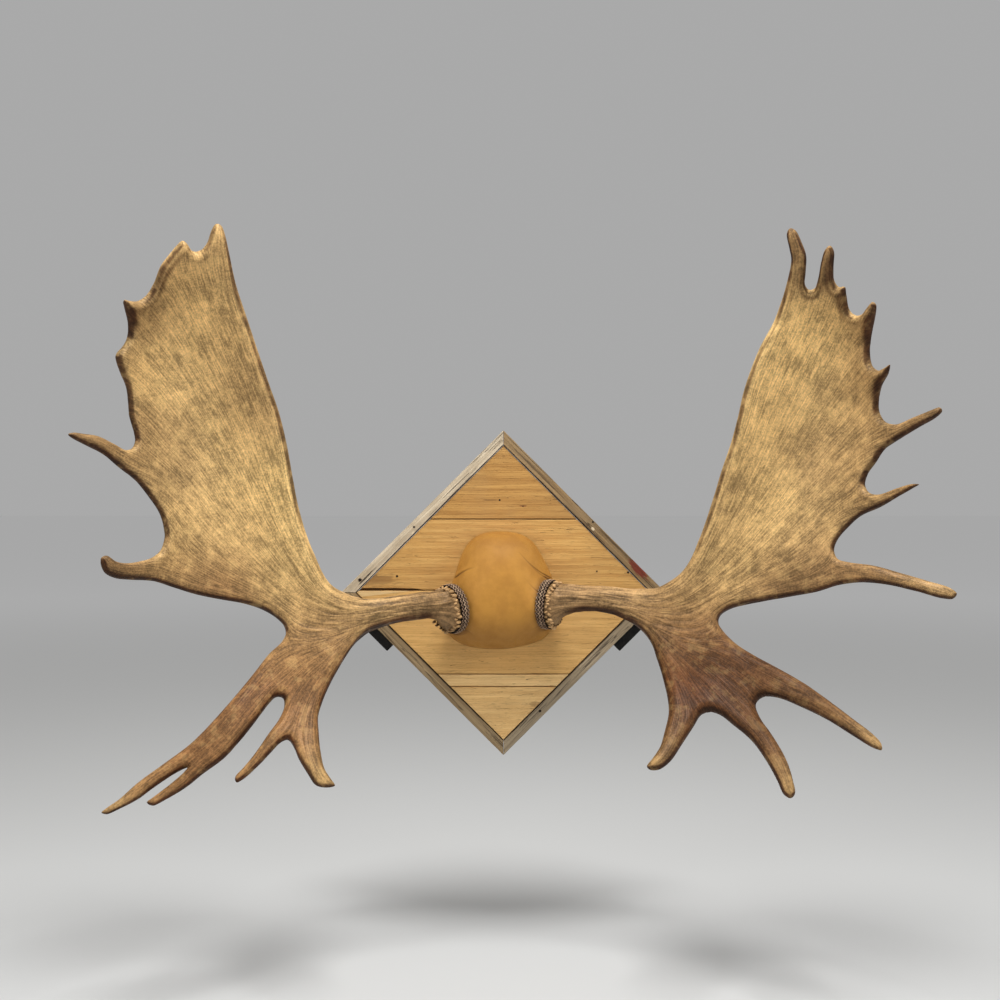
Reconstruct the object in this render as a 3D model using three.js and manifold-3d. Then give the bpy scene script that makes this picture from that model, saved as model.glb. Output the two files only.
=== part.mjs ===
// A pair of moose antlers on a leather-covered skull cap, fixed to a diamond-hung wooden plaque.
//
// Millimetres, +Z up. The wall is the plane y = 0 and the mount stands out from it towards -Y.
// The origin is the middle of the plaque, on the wall. "Depth" always means distance from the wall.

import * as THREE from 'three';
import { mergeVertices } from 'three/addons/utils/BufferGeometryUtils.js';
import Module from 'manifold-3d';

const wasm = await Module();
wasm.setup();

// ---------------------------------------------------------------- driving dimensions

const GAP = 0.3; // air left between two pieces that touch

const PLAQUE_SIDE = 406.4; // 16 inches
const RAIL_WIDTH = 18;
const RAIL_DEPTH = 40;
const RAIL_TO_BOARD_GAP = 1.2;
const BOARD_FRONT = 38;
const BOARD_THICKNESS = 19;
const BOARD_SEAMS = [130, 4, -144, -166]; // heights of the joints between boards, from the top
const BOARD_SEAM_WIDTH = 1.2;

const CAP_BULGE = 1.38; // how much fuller than a soap film the leather dome stands
const CAP_SQUARENESS = 2.5; // 2 makes it round, and more gives it a flatter front and fuller shoulders
const CAP_SKIRT = 3; // height of the cap's straight lower edge
const RING_HALF_WIDTH = 8; // of the braided ring, along the beam
const RING_INNER_RADIUS = 38;
const RING_THICKNESS = 5.5;
const COLLAR_CLEARANCE = 47; // radius kept free of leather around each ring
const CLEARED_LENGTH = 60; // how far out along the beam the leather keeps that clear
const BEAM_START = RING_HALF_WIDTH - 1.4; // of the beam along its own axis, inside the ring
const BURR_PEARLS = 15;
const THINNEST = 7; // half thickness of an antler away from its rim
const THICKEST = 28;

const RIM_STEP = 15; // longest edge along an antler's outline
const CAP_RIM_STEP = 16; // longest edge along the cap's outline
const FIRST_ROW = 3.4; // nearest that an inner vertex comes to the outline
const FINE_SPACING = 9; // between inner vertices beside the outline
const COARSE_SPACING = 28; // between inner vertices in the middle of a palm
const RING_SEGMENTS = 32; // around a braided ring
const COLLAR_SEGMENTS = 28; // around a leather collar
const MOST_ROUNDS = 12; // of adding points until the filling follows the outline
const SWEEPS = 600; // over a swelling's heights until they settle

// The antlers are drawn as flat patterns, the way a viewer at EYE sees them on a sheet held
// PATTERN_DISTANCE away, and are then carried along the sight lines to their real depth.
const EYE = new THREE.Vector3(-6, -2250, 164);
const PATTERN_DISTANCE = 2000;

// ---------------------------------------------------------------- the two antlers

// outline: pattern points [u, v], in order around the antler.
// form: [u, v, depth, half thickness] of the middle surface, which the rest is bent through.
// foot: where the beam leaves the braided ring. turn and lean are the beam's angles there, in
// degrees: turn towards the viewer, lean downwards as it goes out.
const LEFT_ANTLER = {
  side: -1,
  foot: { u: -83, v: -10, depth: 105, turn: 36, lean: 8 },
  outline: {
    beamTop: [[-52, 19], [-80, 20], [-100, 20], [-120, 18.5], [-146, 15], [-172, 11.5], [-202, 7],
      [-223, 6], [-240, 9], [-256, 16], [-271, 24]],
    innerEdge: [[-285, 39], [-303, 77], [-318, 116], [-329, 155], [-338, 200], [-347, 250], [-360, 304],
      [-376, 350], [-393, 400], [-411, 454], [-429, 510], [-440, 562], [-447, 592]],
    topTines: [[-452, 603], [-460, 606], [-467, 596], [-474, 576], [-481, 566], [-490, 561],
      [-499, 563], [-506, 573], [-513, 579], [-521, 572], [-535, 555], [-548, 537], [-559, 509],
      [-570, 491], [-583, 482], [-597, 482], [-607, 484], [-605, 470], [-600, 447], [-601, 424],
      [-608, 410], [-616, 401], [-619, 393], [-613, 370], [-603, 345], [-600, 320], [-598, 298],
      [-591, 274]],
    sideTines: [[-589, 258], [-594, 247], [-606, 244], [-625, 254], [-649, 266], [-672, 270],
      [-690, 272], [-697, 269], [-690, 263], [-665, 250], [-640, 237], [-613, 215], [-587, 194],
      [-566, 168], [-550, 143], [-543, 120], [-542, 102], [-548, 84], [-562, 72], [-582, 66],
      [-604, 63], [-622, 66], [-636, 75], [-643, 72], [-643, 60], [-636, 46], [-620, 38.5], [-596, 36]],
    palmUnderside: [[-560, 34], [-528, 24], [-490, 12.5], [-450, 4.5], [-415, -2], [-385, -12],
      [-362, -26], [-351, -38]],
    browTop: [[-349, -50], [-354, -62], [-376, -83], [-401, -115], [-431, -151], [-465, -190],
      [-500, -225], [-540, -255], [-584, -287], [-616, -315], [-636, -329]],
    browTines: [[-644, -336], [-636, -339], [-614, -330], [-584, -314], [-550, -289], [-520, -270],
      [-506, -264], [-512, -272], [-535, -292], [-560, -311], [-571, -320], [-562, -325], [-540, -315],
      [-510, -297], [-480, -273], [-449, -250], [-420, -219], [-396, -189], [-375, -161], [-364, -151],
      [-354, -152], [-351, -165], [-359, -186], [-377, -211], [-398, -242], [-416, -264], [-430, -280],
      [-428, -288], [-415, -281], [-392, -260], [-372, -239], [-356, -223], [-345, -219], [-337, -229],
      [-328, -250], [-313, -275], [-302, -291], [-286, -296], [-270, -293], [-276, -284], [-287, -267],
      [-293, -240], [-296, -210], [-297, -184]],
    browUnderside: [[-290, -159], [-278, -131], [-262, -102], [-248, -80], [-234, -62], [-217, -48]],
    beamUnderside: [[-200, -41], [-172, -33], [-145, -28.5], [-122, -25.5], [-100, -26], [-80, -28],
      [-52, -30]],
  },
  form: [[-52, -6, 82, 26], [-83, -5, 107, 27], [-120, -3, 130, 25], [-160, -8, 149, 23],
    [-205, -16, 165, 24], [-255, -18, 179, 24], [-300, -22, 192, 22], [-340, 0, 196, 18],
    [-271, 30, 190, 22], [-311, 95, 206, 15], [-333, 175, 216, 12], [-351, 265, 228, 10],
    [-379, 350, 243, 9], [-411, 450, 264, 9], [-443, 560, 292, 13], [-459, 604, 305, 13],
    [-390, 60, 200, 13], [-410, 150, 204, 9], [-440, 260, 212, 8], [-475, 370, 232, 8],
    [-505, 480, 264, 8], [-500, 60, 240, 9], [-535, 130, 262, 8], [-585, 262, 292, 8],
    [-597, 340, 303, 8], [-598, 430, 314, 8], [-560, 500, 308, 9], [-513, 577, 324, 13],
    [-606, 481, 346, 12], [-618, 394, 334, 10], [-696, 270, 396, 13], [-642, 70, 372, 13],
    [-456, 10, 222, 11], [-560, 42, 290, 10], [-300, -80, 212, 20], [-350, -120, 240, 14],
    [-290, -170, 256, 14], [-350, -170, 268, 11], [-420, -175, 292, 13], [-500, -245, 332, 13],
    [-642, -337, 386, 13], [-570, -321, 368, 13], [-429, -285, 346, 12], [-283, -292, 332, 13]],
  palmCut: [[-268, 18], [-351, -49]],
  browCut: [[-351, -49], [-216, -46]],
};

const RIGHT_ANTLER = {
  side: 1,
  foot: { u: 72, v: -3, depth: 105, turn: 25, lean: 3 },
  outline: {
    beamTop: [[42, 27], [75, 28], [98, 30], [118, 28], [142, 26.5], [172, 26], [200, 22], [226, 21.5],
      [244, 23]],
    innerEdge: [[263, 32], [282, 46], [296, 64], [310, 94], [324, 131], [336, 168], [349, 211],
      [364, 255], [375, 296], [384, 336], [398, 378], [412, 411], [433, 450], [446, 486], [455, 520],
      [460, 548]],
    topTines: [[457, 566], [453, 590], [458, 599], [466, 596], [477, 575], [484, 554], [483, 526],
      [482, 509], [488, 500], [497, 502], [503, 518], [508, 544], [514, 564], [522, 571], [528, 561],
      [527, 535], [528, 514], [535, 504], [544, 505], [547, 490], [552, 467], [561, 459], [573, 461],
      [582, 472], [590, 481], [595, 476], [592, 454], [586, 423], [584, 398], [588, 378], [598, 371],
      [609, 375], [618, 381], [613, 364], [603, 345]],
    sideTines: [[599, 325], [600, 303], [610, 289], [628, 285], [655, 296], [684, 308], [698, 312],
      [701, 306], [690, 295], [665, 281], [635, 263], [608, 245], [594, 224], [581, 205], [577, 187],
      [584, 176], [600, 173], [630, 183], [655, 190], [665, 189], [655, 183], [634, 171], [603, 153],
      [570, 138], [549, 119], [534, 101], [528, 84], [534, 70], [552, 64.5], [593, 59], [635, 47],
      [680, 34], [714, 23], [725, 14], [719, 6], [702, 6.5], [660, 18], [615, 28]],
    palmUnderside: [[573, 32], [537, 28], [500, 17], [460, 10], [420, 3], [383, -4.5], [360, -12],
      [347, -21]],
    browTop: [[344, -32], [351, -46], [370, -65], [400, -84.5], [440, -106], [483, -131], [523, -159],
      [560, -187], [590, -210]],
    browTines: [[604, -226], [605, -236], [594, -234], [560, -214], [520, -189], [478, -168],
      [440, -153], [414, -151], [403, -162], [409, -182], [424, -204], [439, -227], [453, -253],
      [463, -285], [466, -306], [459, -313], [448, -307], [438, -286], [421, -255], [397, -221],
      [366, -194], [345, -178], [330, -174], [317, -178], [303, -199], [286, -225], [268, -252],
      [250, -266], [235, -267.5], [229, -263], [238, -251], [250, -232], [257, -208], [264, -177]],
    browUnderside: [[262, -152], [255, -123], [246, -93], [235, -63], [219, -43]],
    beamUnderside: [[200, -31], [178, -21.5], [150, -15.5], [122, -15], [98, -20], [75, -25],
      [42, -28]],
  },
  form: [[42, 0, 92, 26], [72, 1, 106, 27], [110, 5, 123, 24], [150, 6, 141, 23], [200, -1, 160, 24],
    [250, -8, 177, 24], [300, -16, 192, 22], [340, 2, 197, 18], [263, 38, 189, 22], [304, 85, 204, 15],
    [327, 150, 214, 12], [347, 220, 224, 10], [375, 310, 238, 9], [412, 415, 256, 9],
    [450, 510, 280, 10], [459, 597, 305, 13], [400, 60, 200, 13], [430, 150, 204, 9],
    [465, 260, 212, 8], [490, 370, 234, 8], [505, 465, 264, 8], [480, 55, 238, 9], [522, 90, 258, 8],
    [572, 190, 286, 8], [594, 320, 300, 8], [583, 410, 306, 8], [560, 470, 310, 8], [522, 569, 326, 13],
    [592, 479, 350, 12], [616, 380, 352, 11], [699, 309, 398, 13], [663, 188, 376, 12],
    [723, 13, 380, 13], [440, 14, 218, 11], [560, 46, 286, 11], [640, 35, 334, 13], [300, -85, 216, 20],
    [350, -125, 246, 14], [285, -165, 262, 14], [345, -165, 272, 12], [450, -130, 300, 14],
    [415, -200, 310, 14], [604, -232, 384, 13], [460, -311, 378, 13], [232, -264, 344, 12]],
  palmCut: [[246, 20], [345, -34]],
  browCut: [[345, -34], [216, -43]],
};

// ---------------------------------------------------------------- skull cap and wall blocks

// The cap's edge on the boards, [x, z], clockwise from the top.
const CAP_EDGE = [[-4, 109], [20, 106.5], [38, 100.5], [54, 88], [66, 69], [76, 50], [86, 27], [94, -12],
  [91, -50], [75, -77], [41, -91], [-4, -98], [-56, -95], [-81, -86], [-98, -71], [-102, -42],
  [-97, -8], [-90, 20], [-85, 34], [-80, 51], [-74, 68], [-63, 87], [-50, 99], [-32, 106.5]];

// The black blocks: along is how far each one's middle lies from its rail's, towards the plaque's side.
const BLOCK = { length: 92, depth: 24, proud: 17.5, along: 118 };

const COLOURS = {
  antler: 0xb58a55, leather: 0xc38c41, braid: 0x3a2f28, board: 0xc39b5f, rail: 0xa58c69,
  backer: 0xbfa27a, block: 0x0c0c0d,
};

// ---------------------------------------------------------------- solids

/** A solid from vertices and triangles that already share their corners. */
function solidFromMesh(vertices, triangles) {
  const vertProperties = new Float32Array(vertices.flatMap((point) => [point.x, point.y, point.z]));
  const triVerts = new Uint32Array(triangles.flat());
  return new wasm.Manifold(new wasm.Mesh({ numProp: 3, vertProperties, triVerts }));
}

/** A solid from a closed three.js geometry. */
function solidFromGeometry(geometry) {
  const bare = geometry.clone();
  bare.deleteAttribute('normal');
  bare.deleteAttribute('uv');
  const welded = mergeVertices(bare, 1e-4);
  const vertProperties = new Float32Array(welded.attributes.position.array);
  const triVerts = new Uint32Array(welded.index.array);
  return new wasm.Manifold(new wasm.Mesh({ numProp: 3, vertProperties, triVerts }));
}

/** A three.js geometry from a solid. */
function geometryFromSolid(solid) {
  const mesh = solid.getMesh();
  const geometry = new THREE.BufferGeometry();
  geometry.setAttribute('position', new THREE.BufferAttribute(new Float32Array(mesh.vertProperties), 3));
  geometry.setIndex(new THREE.BufferAttribute(new Uint32Array(mesh.triVerts), 1));
  return geometry;
}

/** Everything on the side of a plane that its normal points to, as a very large block. */
function halfSpace(point, normal) {
  const size = 4000;
  const block = new THREE.BoxGeometry(size, size, size);
  block.translate(0, 0, size / 2);
  block.applyQuaternion(new THREE.Quaternion().setFromUnitVectors(new THREE.Vector3(0, 0, 1), normal));
  block.translate(point.x, point.y, point.z);
  return solidFromGeometry(block);
}

/** Turns a lathe profile [radius, along] into a solid of revolution on an axis. */
function turnedSolid(profile, segments, centre, axis, shape = (radius) => radius) {
  const points = profile.map(([radius, along]) => new THREE.Vector2(radius, along));
  const lathe = new THREE.LatheGeometry(points, segments);
  const position = lathe.attributes.position;
  for (let i = 0; i < position.count; i += 1) {
    const radius = Math.hypot(position.getX(i), position.getZ(i));
    const angle = Math.atan2(position.getX(i), position.getZ(i));
    const scale = radius > 0 ? shape(radius, angle, position.getY(i)) / radius : 1;
    position.setX(i, position.getX(i) * scale);
    position.setZ(i, position.getZ(i) * scale);
  }
  lathe.applyQuaternion(new THREE.Quaternion().setFromUnitVectors(new THREE.Vector3(0, 1, 0), axis));
  lathe.translate(centre.x, centre.y, centre.z);
  return solidFromGeometry(lathe);
}

/** An outline [x, z] pushed out from the wall between two depths. */
function boardSolid(outline, backDepth, frontDepth) {
  const shape = new THREE.Shape(outline.map(([x, z]) => new THREE.Vector2(x, z)));
  const geometry = new THREE.ExtrudeGeometry(shape, { depth: frontDepth - backDepth, bevelEnabled: false });
  geometry.rotateX(Math.PI / 2);
  geometry.translate(0, -backDepth, 0);
  return geometry;
}

// ---------------------------------------------------------------- flat patterns

/** The pattern point [u, v] at a depth from the wall. */
function onSightLine(u, v, depth) {
  const reach = (-EYE.y - depth) / PATTERN_DISTANCE;
  return new THREE.Vector3(EYE.x + (u - EYE.x) * reach, -depth, EYE.z + (v - EYE.z) * reach);
}

/** Solves matrix x = right by elimination with row swaps. */
function solveLinear(matrix, right) {
  const rows = matrix.map((row, i) => [...row, right[i]]);
  const size = rows.length;
  for (let column = 0; column < size; column += 1) {
    let best = column;
    for (let i = column + 1; i < size; i += 1) {
      if (Math.abs(rows[i][column]) > Math.abs(rows[best][column])) best = i;
    }
    [rows[column], rows[best]] = [rows[best], rows[column]];
    for (let i = column + 1; i < size; i += 1) {
      const factor = rows[i][column] / rows[column][column];
      for (let k = column; k <= size; k += 1) rows[i][k] -= factor * rows[column][k];
    }
  }
  const answer = new Array(size).fill(0);
  for (let i = size - 1; i >= 0; i -= 1) {
    const known = answer.reduce((sum, value, k) => sum + (k > i ? rows[i][k] * value : 0), 0);
    answer[i] = (rows[i][size] - known) / rows[i][i];
  }
  return answer;
}

/** A thin plate bent through samples [u, v, value], as a function of u and v. */
function bentPlate(samples) {
  const unit = 100;
  const bend = (du, dv) => {
    const square = (du * du + dv * dv) / (unit * unit);
    return square > 0 ? square * Math.log(square) : 0;
  };
  const flat = samples.map(([u, v]) => [1, u / unit, v / unit]);
  const matrix = samples.map(([u, v], i) => [...samples.map(([p, q]) => bend(u - p, v - q)), ...flat[i]]);
  for (let k = 0; k < 3; k += 1) matrix.push([...flat.map((row) => row[k]), 0, 0, 0]);
  const weights = solveLinear(matrix, [...samples.map((sample) => sample[2]), 0, 0, 0]);
  const [level, slopeU, slopeV] = weights.slice(-3);
  return (u, v) => samples.reduce((sum, [p, q], i) => sum + weights[i] * bend(u - p, v - q),
    level + (slopeU * u + slopeV * v) / unit);
}

/** Distance from a point to a closed polygon. */
function distanceToOutline([u, v], polygon) {
  let nearest = Infinity;
  polygon.forEach(([u1, v1], i) => {
    const [u2, v2] = polygon[(i + 1) % polygon.length];
    const [du, dv] = [u2 - u1, v2 - v1];
    const along = THREE.MathUtils.clamp(((u - u1) * du + (v - v1) * dv) / (du * du + dv * dv), 0, 1);
    nearest = Math.min(nearest, Math.hypot(u - u1 - along * du, v - v1 - along * dv));
  });
  return nearest;
}

/** Whether a point lies inside a closed polygon. */
function isInside([u, v], polygon) {
  let inside = false;
  polygon.forEach(([u1, v1], i) => {
    const [u2, v2] = polygon[(i + 1) % polygon.length];
    const crosses = (v1 > v) !== (v2 > v) && u < u1 + ((v - v1) / (v2 - v1)) * (u2 - u1);
    inside = crosses ? !inside : inside;
  });
  return inside;
}

/** Triangles [a, b, c] of the Delaunay triangulation of a list of points. */
function delaunay(points) {
  const far = 1e5;
  const all = [...points, [-far, -far], [far, -far], [0, far]];
  const withCircle = (a, b, c) => {
    const [[ax, ay], [bx, by], [cx, cy]] = [all[a], all[b], all[c]];
    const twist = 2 * (ax * (by - cy) + bx * (cy - ay) + cx * (ay - by));
    const [sa, sb, sc] = [ax * ax + ay * ay, bx * bx + by * by, cx * cx + cy * cy];
    const x = (sa * (by - cy) + sb * (cy - ay) + sc * (ay - by)) / twist;
    const y = (sa * (cx - bx) + sb * (ax - cx) + sc * (bx - ax)) / twist;
    return { corners: [a, b, c], x, y, square: (ax - x) ** 2 + (ay - y) ** 2 };
  };
  let triangles = [withCircle(points.length, points.length + 1, points.length + 2)];
  points.forEach(([u, v], index) => {
    const edges = new Map();
    triangles = triangles.filter((triangle) => {
      if ((u - triangle.x) ** 2 + (v - triangle.y) ** 2 >= triangle.square) return true;
      triangle.corners.forEach((from, i) => {
        const to = triangle.corners[(i + 1) % 3];
        if (!edges.delete(`${to},${from}`)) edges.set(`${from},${to}`, [from, to]);
      });
      return false;
    });
    edges.forEach(([from, to]) => triangles.push(withCircle(from, to, index)));
  });
  return triangles.map(({ corners }) => corners).filter((corners) => Math.max(...corners) < points.length);
}

/** Inner vertices, far apart in the middle of an outline and close together beside it. */
function innerPoints(polygon) {
  const step = 4;
  const [us, vs] = [polygon.map(([u]) => u), polygon.map(([, v]) => v)];
  const candidates = [];
  for (let u = Math.min(...us); u < Math.max(...us); u += step) {
    for (let v = Math.min(...vs); v < Math.max(...vs); v += step) {
      const point = [u + Math.sin(v * 7.3), v + Math.sin(u * 5.1)];
      const distance = isInside(point, polygon) ? distanceToOutline(point, polygon) : 0;
      if (distance > FIRST_ROW) candidates.push({ point, distance });
    }
  }
  candidates.sort((a, b) => b.distance - a.distance);
  const kept = [];
  candidates.forEach(({ point: [u, v], distance }) => {
    const graded = FINE_SPACING + 0.8 * (distance - FINE_SPACING);
    const spacing = THREE.MathUtils.clamp(graded, FINE_SPACING, COARSE_SPACING);
    if (kept.every(([p, q]) => Math.hypot(u - p, v - q) > spacing)) kept.push([u, v]);
  });
  return kept;
}

/** Triangulates the inside of a smooth closed curve, so that only its own edges join two rim points. */
function fillOutline(outline, step) {
  const isClockwise = THREE.ShapeUtils.isClockWise(outline.map(([u, v]) => new THREE.Vector2(u, v)));
  const corners = isClockwise ? [...outline].reverse() : outline;
  const curve = new THREE.CatmullRomCurve3(corners.map(([u, v]) => new THREE.Vector3(u, v, 0)), true);
  const stops = corners.flatMap(([u, v], i) => {
    const [nextU, nextV] = corners[(i + 1) % corners.length];
    const parts = Math.max(1, Math.round(Math.hypot(nextU - u, nextV - v) / step));
    return Array.from({ length: parts }, (_, k) => (i + k / parts) / corners.length);
  });
  const rimAt = () => stops.map((stop) => curve.getPoint(stop)).map(({ x, y }) => [x, y]);
  const inner = innerPoints(rimAt());
  for (let round = 0; round < MOST_ROUNDS; round += 1) {
    const rim = rimAt();
    const points = [...rim, ...inner];
    const middle = (indices) => [0, 1].map((k) => (
      indices.reduce((sum, i) => sum + points[i][k] / indices.length, 0)));
    const triangles = delaunay(points).filter((triangle) => isInside(middle(triangle), rim));
    const edges = triangles.flatMap(([a, b, c]) => [[a, b], [b, c], [c, a]]);
    const isSide = ([a, b]) => (a + 1) % rim.length === b;
    const sides = new Set(edges.filter(isSide).map(([a]) => a));
    const missing = rim.map((_, i) => i).filter((i) => !sides.has(i));
    const chords = edges.filter(([a, b]) => a < b && b < rim.length && !isSide([a, b]) && !isSide([b, a]));
    if (missing.length + chords.length === 0) return { points, triangles, rim };
    inner.push(...chords.map(middle));
    missing.reverse().forEach((i) => {
      const next = i + 1 < stops.length ? stops[i + 1] : 1;
      stops.splice(i + 1, 0, (stops[i] + next) / 2);
    });
  }
  throw new Error('an outline crosses itself or is too thin to fill');
}

/** Squared height of a round swelling over a filled outline: r^2 - s^2 across a strip 2 r wide. */
function swelling({ points, triangles, rim }) {
  const count = points.length;
  const load = new Array(count).fill(0);
  const links = Array.from({ length: count }, () => new Map());
  triangles.forEach((corners) => {
    corners.forEach((a, i) => {
      const [b, c] = [corners[(i + 1) % 3], corners[(i + 2) % 3]];
      const [bu, bv] = [points[b][0] - points[a][0], points[b][1] - points[a][1]];
      const [cu, cv] = [points[c][0] - points[a][0], points[c][1] - points[a][1]];
      const area = Math.abs(bu * cv - bv * cu);
      const weight = (bu * cu + bv * cv) / area / 2;
      load[a] += area / 3;
      links[b].set(c, (links[b].get(c) ?? 0) + weight);
      links[c].set(b, (links[c].get(b) ?? 0) + weight);
    });
  });
  const height = new Array(count).fill(0);
  for (let sweep = 0; sweep < SWEEPS; sweep += 1) {
    for (let i = rim.length; i < count; i += 1) {
      let [pull, total] = [load[i], 0];
      links[i].forEach((weight, other) => {
        pull += weight * height[other];
        total += weight;
      });
      height[i] = pull / total;
    }
  }
  return height;
}

/** Closes a front and a back sheet over one filled outline into a solid. */
function twoSidedSolid({ triangles, rim }, front, back) {
  const backIndex = (i) => (i < rim.length ? i : i + front.length - rim.length);
  const backTriangles = triangles.map(([a, b, c]) => [c, b, a].map(backIndex));
  return solidFromMesh([...front, ...back.slice(rim.length)], [...triangles, ...backTriangles]);
}

// ---------------------------------------------------------------- antlers

/** The beam's foot in space: its centre and the direction in which the beam leaves. */
function footOf({ side, foot }) {
  const [turn, lean] = [foot.turn, foot.lean].map(THREE.MathUtils.degToRad);
  const axis = new THREE.Vector3(
    side * Math.cos(turn) * Math.cos(lean), -Math.sin(turn), -Math.cos(turn) * Math.sin(lean));
  return { centre: onSightLine(foot.u, foot.v, foot.depth), axis: axis.normalize() };
}

/** One whole antler, from its foot to its tips. */
function antlerSolid(antler) {
  const filled = fillOutline(Object.values(antler.outline).flat(), RIM_STEP);
  const depthAt = bentPlate(antler.form.map(([u, v, depth]) => [u, v, depth]));
  const limitAt = bentPlate(antler.form.map(([u, v, , half]) => [u, v, half]));
  const squares = swelling(filled);
  const surface = (u, v) => onSightLine(u, v, depthAt(u, v));
  const sheets = { front: [], back: [] };
  filled.points.forEach(([u, v], i) => {
    const limit = THREE.MathUtils.clamp(limitAt(u, v), THINNEST, THICKEST);
    const fromEdge = Math.min(limit, distanceToOutline([u, v], filled.rim));
    const roundRim = limit ** 2 - (limit - fromEdge) ** 2;
    const square = i < filled.rim.length ? 0 : (squares[i] ** -3 + roundRim ** -3) ** (-1 / 3);
    const middle = surface(u, v);
    const [alongU, alongV] = [surface(u + 1, v).sub(middle), surface(u, v + 1).sub(middle)];
    const normal = alongU.cross(alongV).normalize().multiplyScalar(Math.sqrt(square));
    sheets.front.push(middle.clone().add(normal));
    sheets.back.push(middle.clone().sub(normal));
  });
  return twoSidedSolid(filled, sheets.front, sheets.back);
}

/** The knobbly burr around the beam's foot. */
function burrSolid({ centre, axis }) {
  const profile = [[18, 10], [31, 9], [36, 12], [36, 17], [30, 22], [18, 21], [18, 10]];
  const pearls = (radius, angle) => (radius < 20 ? radius : radius + 2 * Math.cos(BURR_PEARLS * angle));
  return turnedSolid(profile, 2 * BURR_PEARLS, centre, axis, pearls);
}

/** An antler as its beam, palm and brow, parted at the main fork. */
function antlerPieces(antler) {
  const { centre, axis } = footOf(antler);
  const start = centre.clone().addScaledVector(axis, BEAM_START);
  const trimmed = antlerSolid(antler).intersect(halfSpace(start, axis));
  const parted = (solid, [[u1, v1], [u2, v2]]) => {
    const [first, second] = [onSightLine(u1, v1, 0), onSightLine(u2, v2, 0)];
    const normal = first.clone().sub(EYE).cross(second.sub(EYE)).normalize();
    const away = normal.clone().negate();
    return [[normal, GAP / 2], [away, GAP / 2]].map(([direction, shift]) => (
      solid.intersect(halfSpace(first.clone().addScaledVector(direction, shift), direction))));
  };
  const [palmSide, restSide] = parted(trimmed, antler.palmCut)
    .sort((a, b) => b.boundingBox().max[2] - a.boundingBox().max[2]);
  const [beamSide, browSide] = parted(restSide, antler.browCut)
    .sort((a, b) => b.boundingBox().min[2] - a.boundingBox().min[2]);
  return { beam: beamSide.add(burrSolid({ centre, axis })), palm: palmSide, brow: browSide };
}

// ---------------------------------------------------------------- skull cap and braids

/** The leather-covered skull cap: a dome on the boards with a collar for each beam. */
function skullCapSolid(feet) {
  const filled = fillOutline(CAP_EDGE, CAP_RIM_STEP);
  const squares = swelling(filled);
  const base = BOARD_FRONT + GAP;
  const low = base + CAP_SKIRT;
  const at = ([x, z], depth) => new THREE.Vector3(x, -depth, z);
  const peak = Math.max(...squares);
  const rise = (square) => CAP_BULGE * Math.sqrt(peak)
    * (1 - (1 - square / peak) ** (CAP_SQUARENESS / 2)) ** (1 / CAP_SQUARENESS);
  const front = filled.points.map((point, i) => at(point, low + rise(squares[i])));
  const back = filled.points.map((point) => at(point, low));
  const dome = twoSidedSolid(filled, front, back);
  const intoDome = 1; // so that the skirt and the dome share a slice and join
  const skirt = solidFromGeometry(boardSolid(filled.rim, base, low + intoDome));
  const seat = RING_HALF_WIDTH + GAP;
  const end = BEAM_START - GAP;
  const neck = RING_INNER_RADIUS - GAP;
  const collar = [[0, -50], [40, -50], [44, -26], [42, -seat], [neck, -seat], [neck, end], [0, end]];
  const roomForRing = [[0, -seat], [COLLAR_CLEARANCE, -seat], [COLLAR_CLEARANCE, CLEARED_LENGTH],
    [0, CLEARED_LENGTH]];
  const turned = (profile, { centre, axis }) => turnedSolid(profile, COLLAR_SEGMENTS, centre, axis);
  return feet.reduce((solid, foot) => (
    solid.subtract(turned(roomForRing, foot)).add(turned(collar, foot))
  ), dome.add(skirt));
}

/** The braided ring around a beam's foot, plain and round-shouldered. */
function braidSolid({ centre, axis }) {
  const [inner, half] = [RING_INNER_RADIUS, RING_HALF_WIDTH];
  const [shoulder, outer] = [inner + 3, inner + RING_THICKNESS];
  const profile = [[inner, -half + 1], [shoulder, -half], [outer, -half / 2], [outer, half / 2],
    [shoulder, half], [inner, half - 1], [inner, -half + 1]];
  return turnedSolid(profile, RING_SEGMENTS, centre, axis);
}

// ---------------------------------------------------------------- plaque

/** The part of a diamond (a square on its corner) between two heights. */
function diamondBand(half, low, high) {
  const bottom = Math.max(low, -half);
  const top = Math.min(high, half);
  const levels = bottom < 0 && top > 0 ? [bottom, 0, top] : [bottom, top];
  const right = levels.map((z) => [half - Math.abs(z), z]);
  const left = levels.map((z) => [Math.abs(z) - half, z]).reverse();
  const apart = ([x, z], [otherX, otherZ]) => Math.hypot(x - otherX, z - otherZ) > 0.01;
  const corners = [...right, ...left];
  return corners.filter((corner, i) => apart(corner, corners.at(i - 1)));
}

/** The plaque's boards, from the top one down. */
function boards(half) {
  const limits = [half, ...BOARD_SEAMS, -half];
  return limits.slice(1).map((low, i) => {
    const top = i === 0 ? half : limits[i] - BOARD_SEAM_WIDTH / 2;
    const bottom = low === -half ? -half : low + BOARD_SEAM_WIDTH / 2;
    return boardSolid(diamondBand(half, bottom, top), BOARD_FRONT - BOARD_THICKNESS, BOARD_FRONT);
  });
}

/** One mitred rail on the side of the diamond that faces (signX, signZ). */
function rail(signX, signZ) {
  const outer = PLAQUE_SIDE / Math.SQRT2;
  const inner = outer - RAIL_WIDTH * Math.SQRT2;
  const mitre = GAP / 2;
  const [outerEnd, innerEnd] = [outer - mitre, inner - mitre];
  const corners = [[outerEnd, mitre], [mitre, outerEnd], [mitre, innerEnd], [innerEnd, mitre]]
    .map(([x, z]) => [signX * x, signZ * z]);
  return boardSolid(signX * signZ > 0 ? corners : corners.reverse(), 0, RAIL_DEPTH);
}

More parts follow.
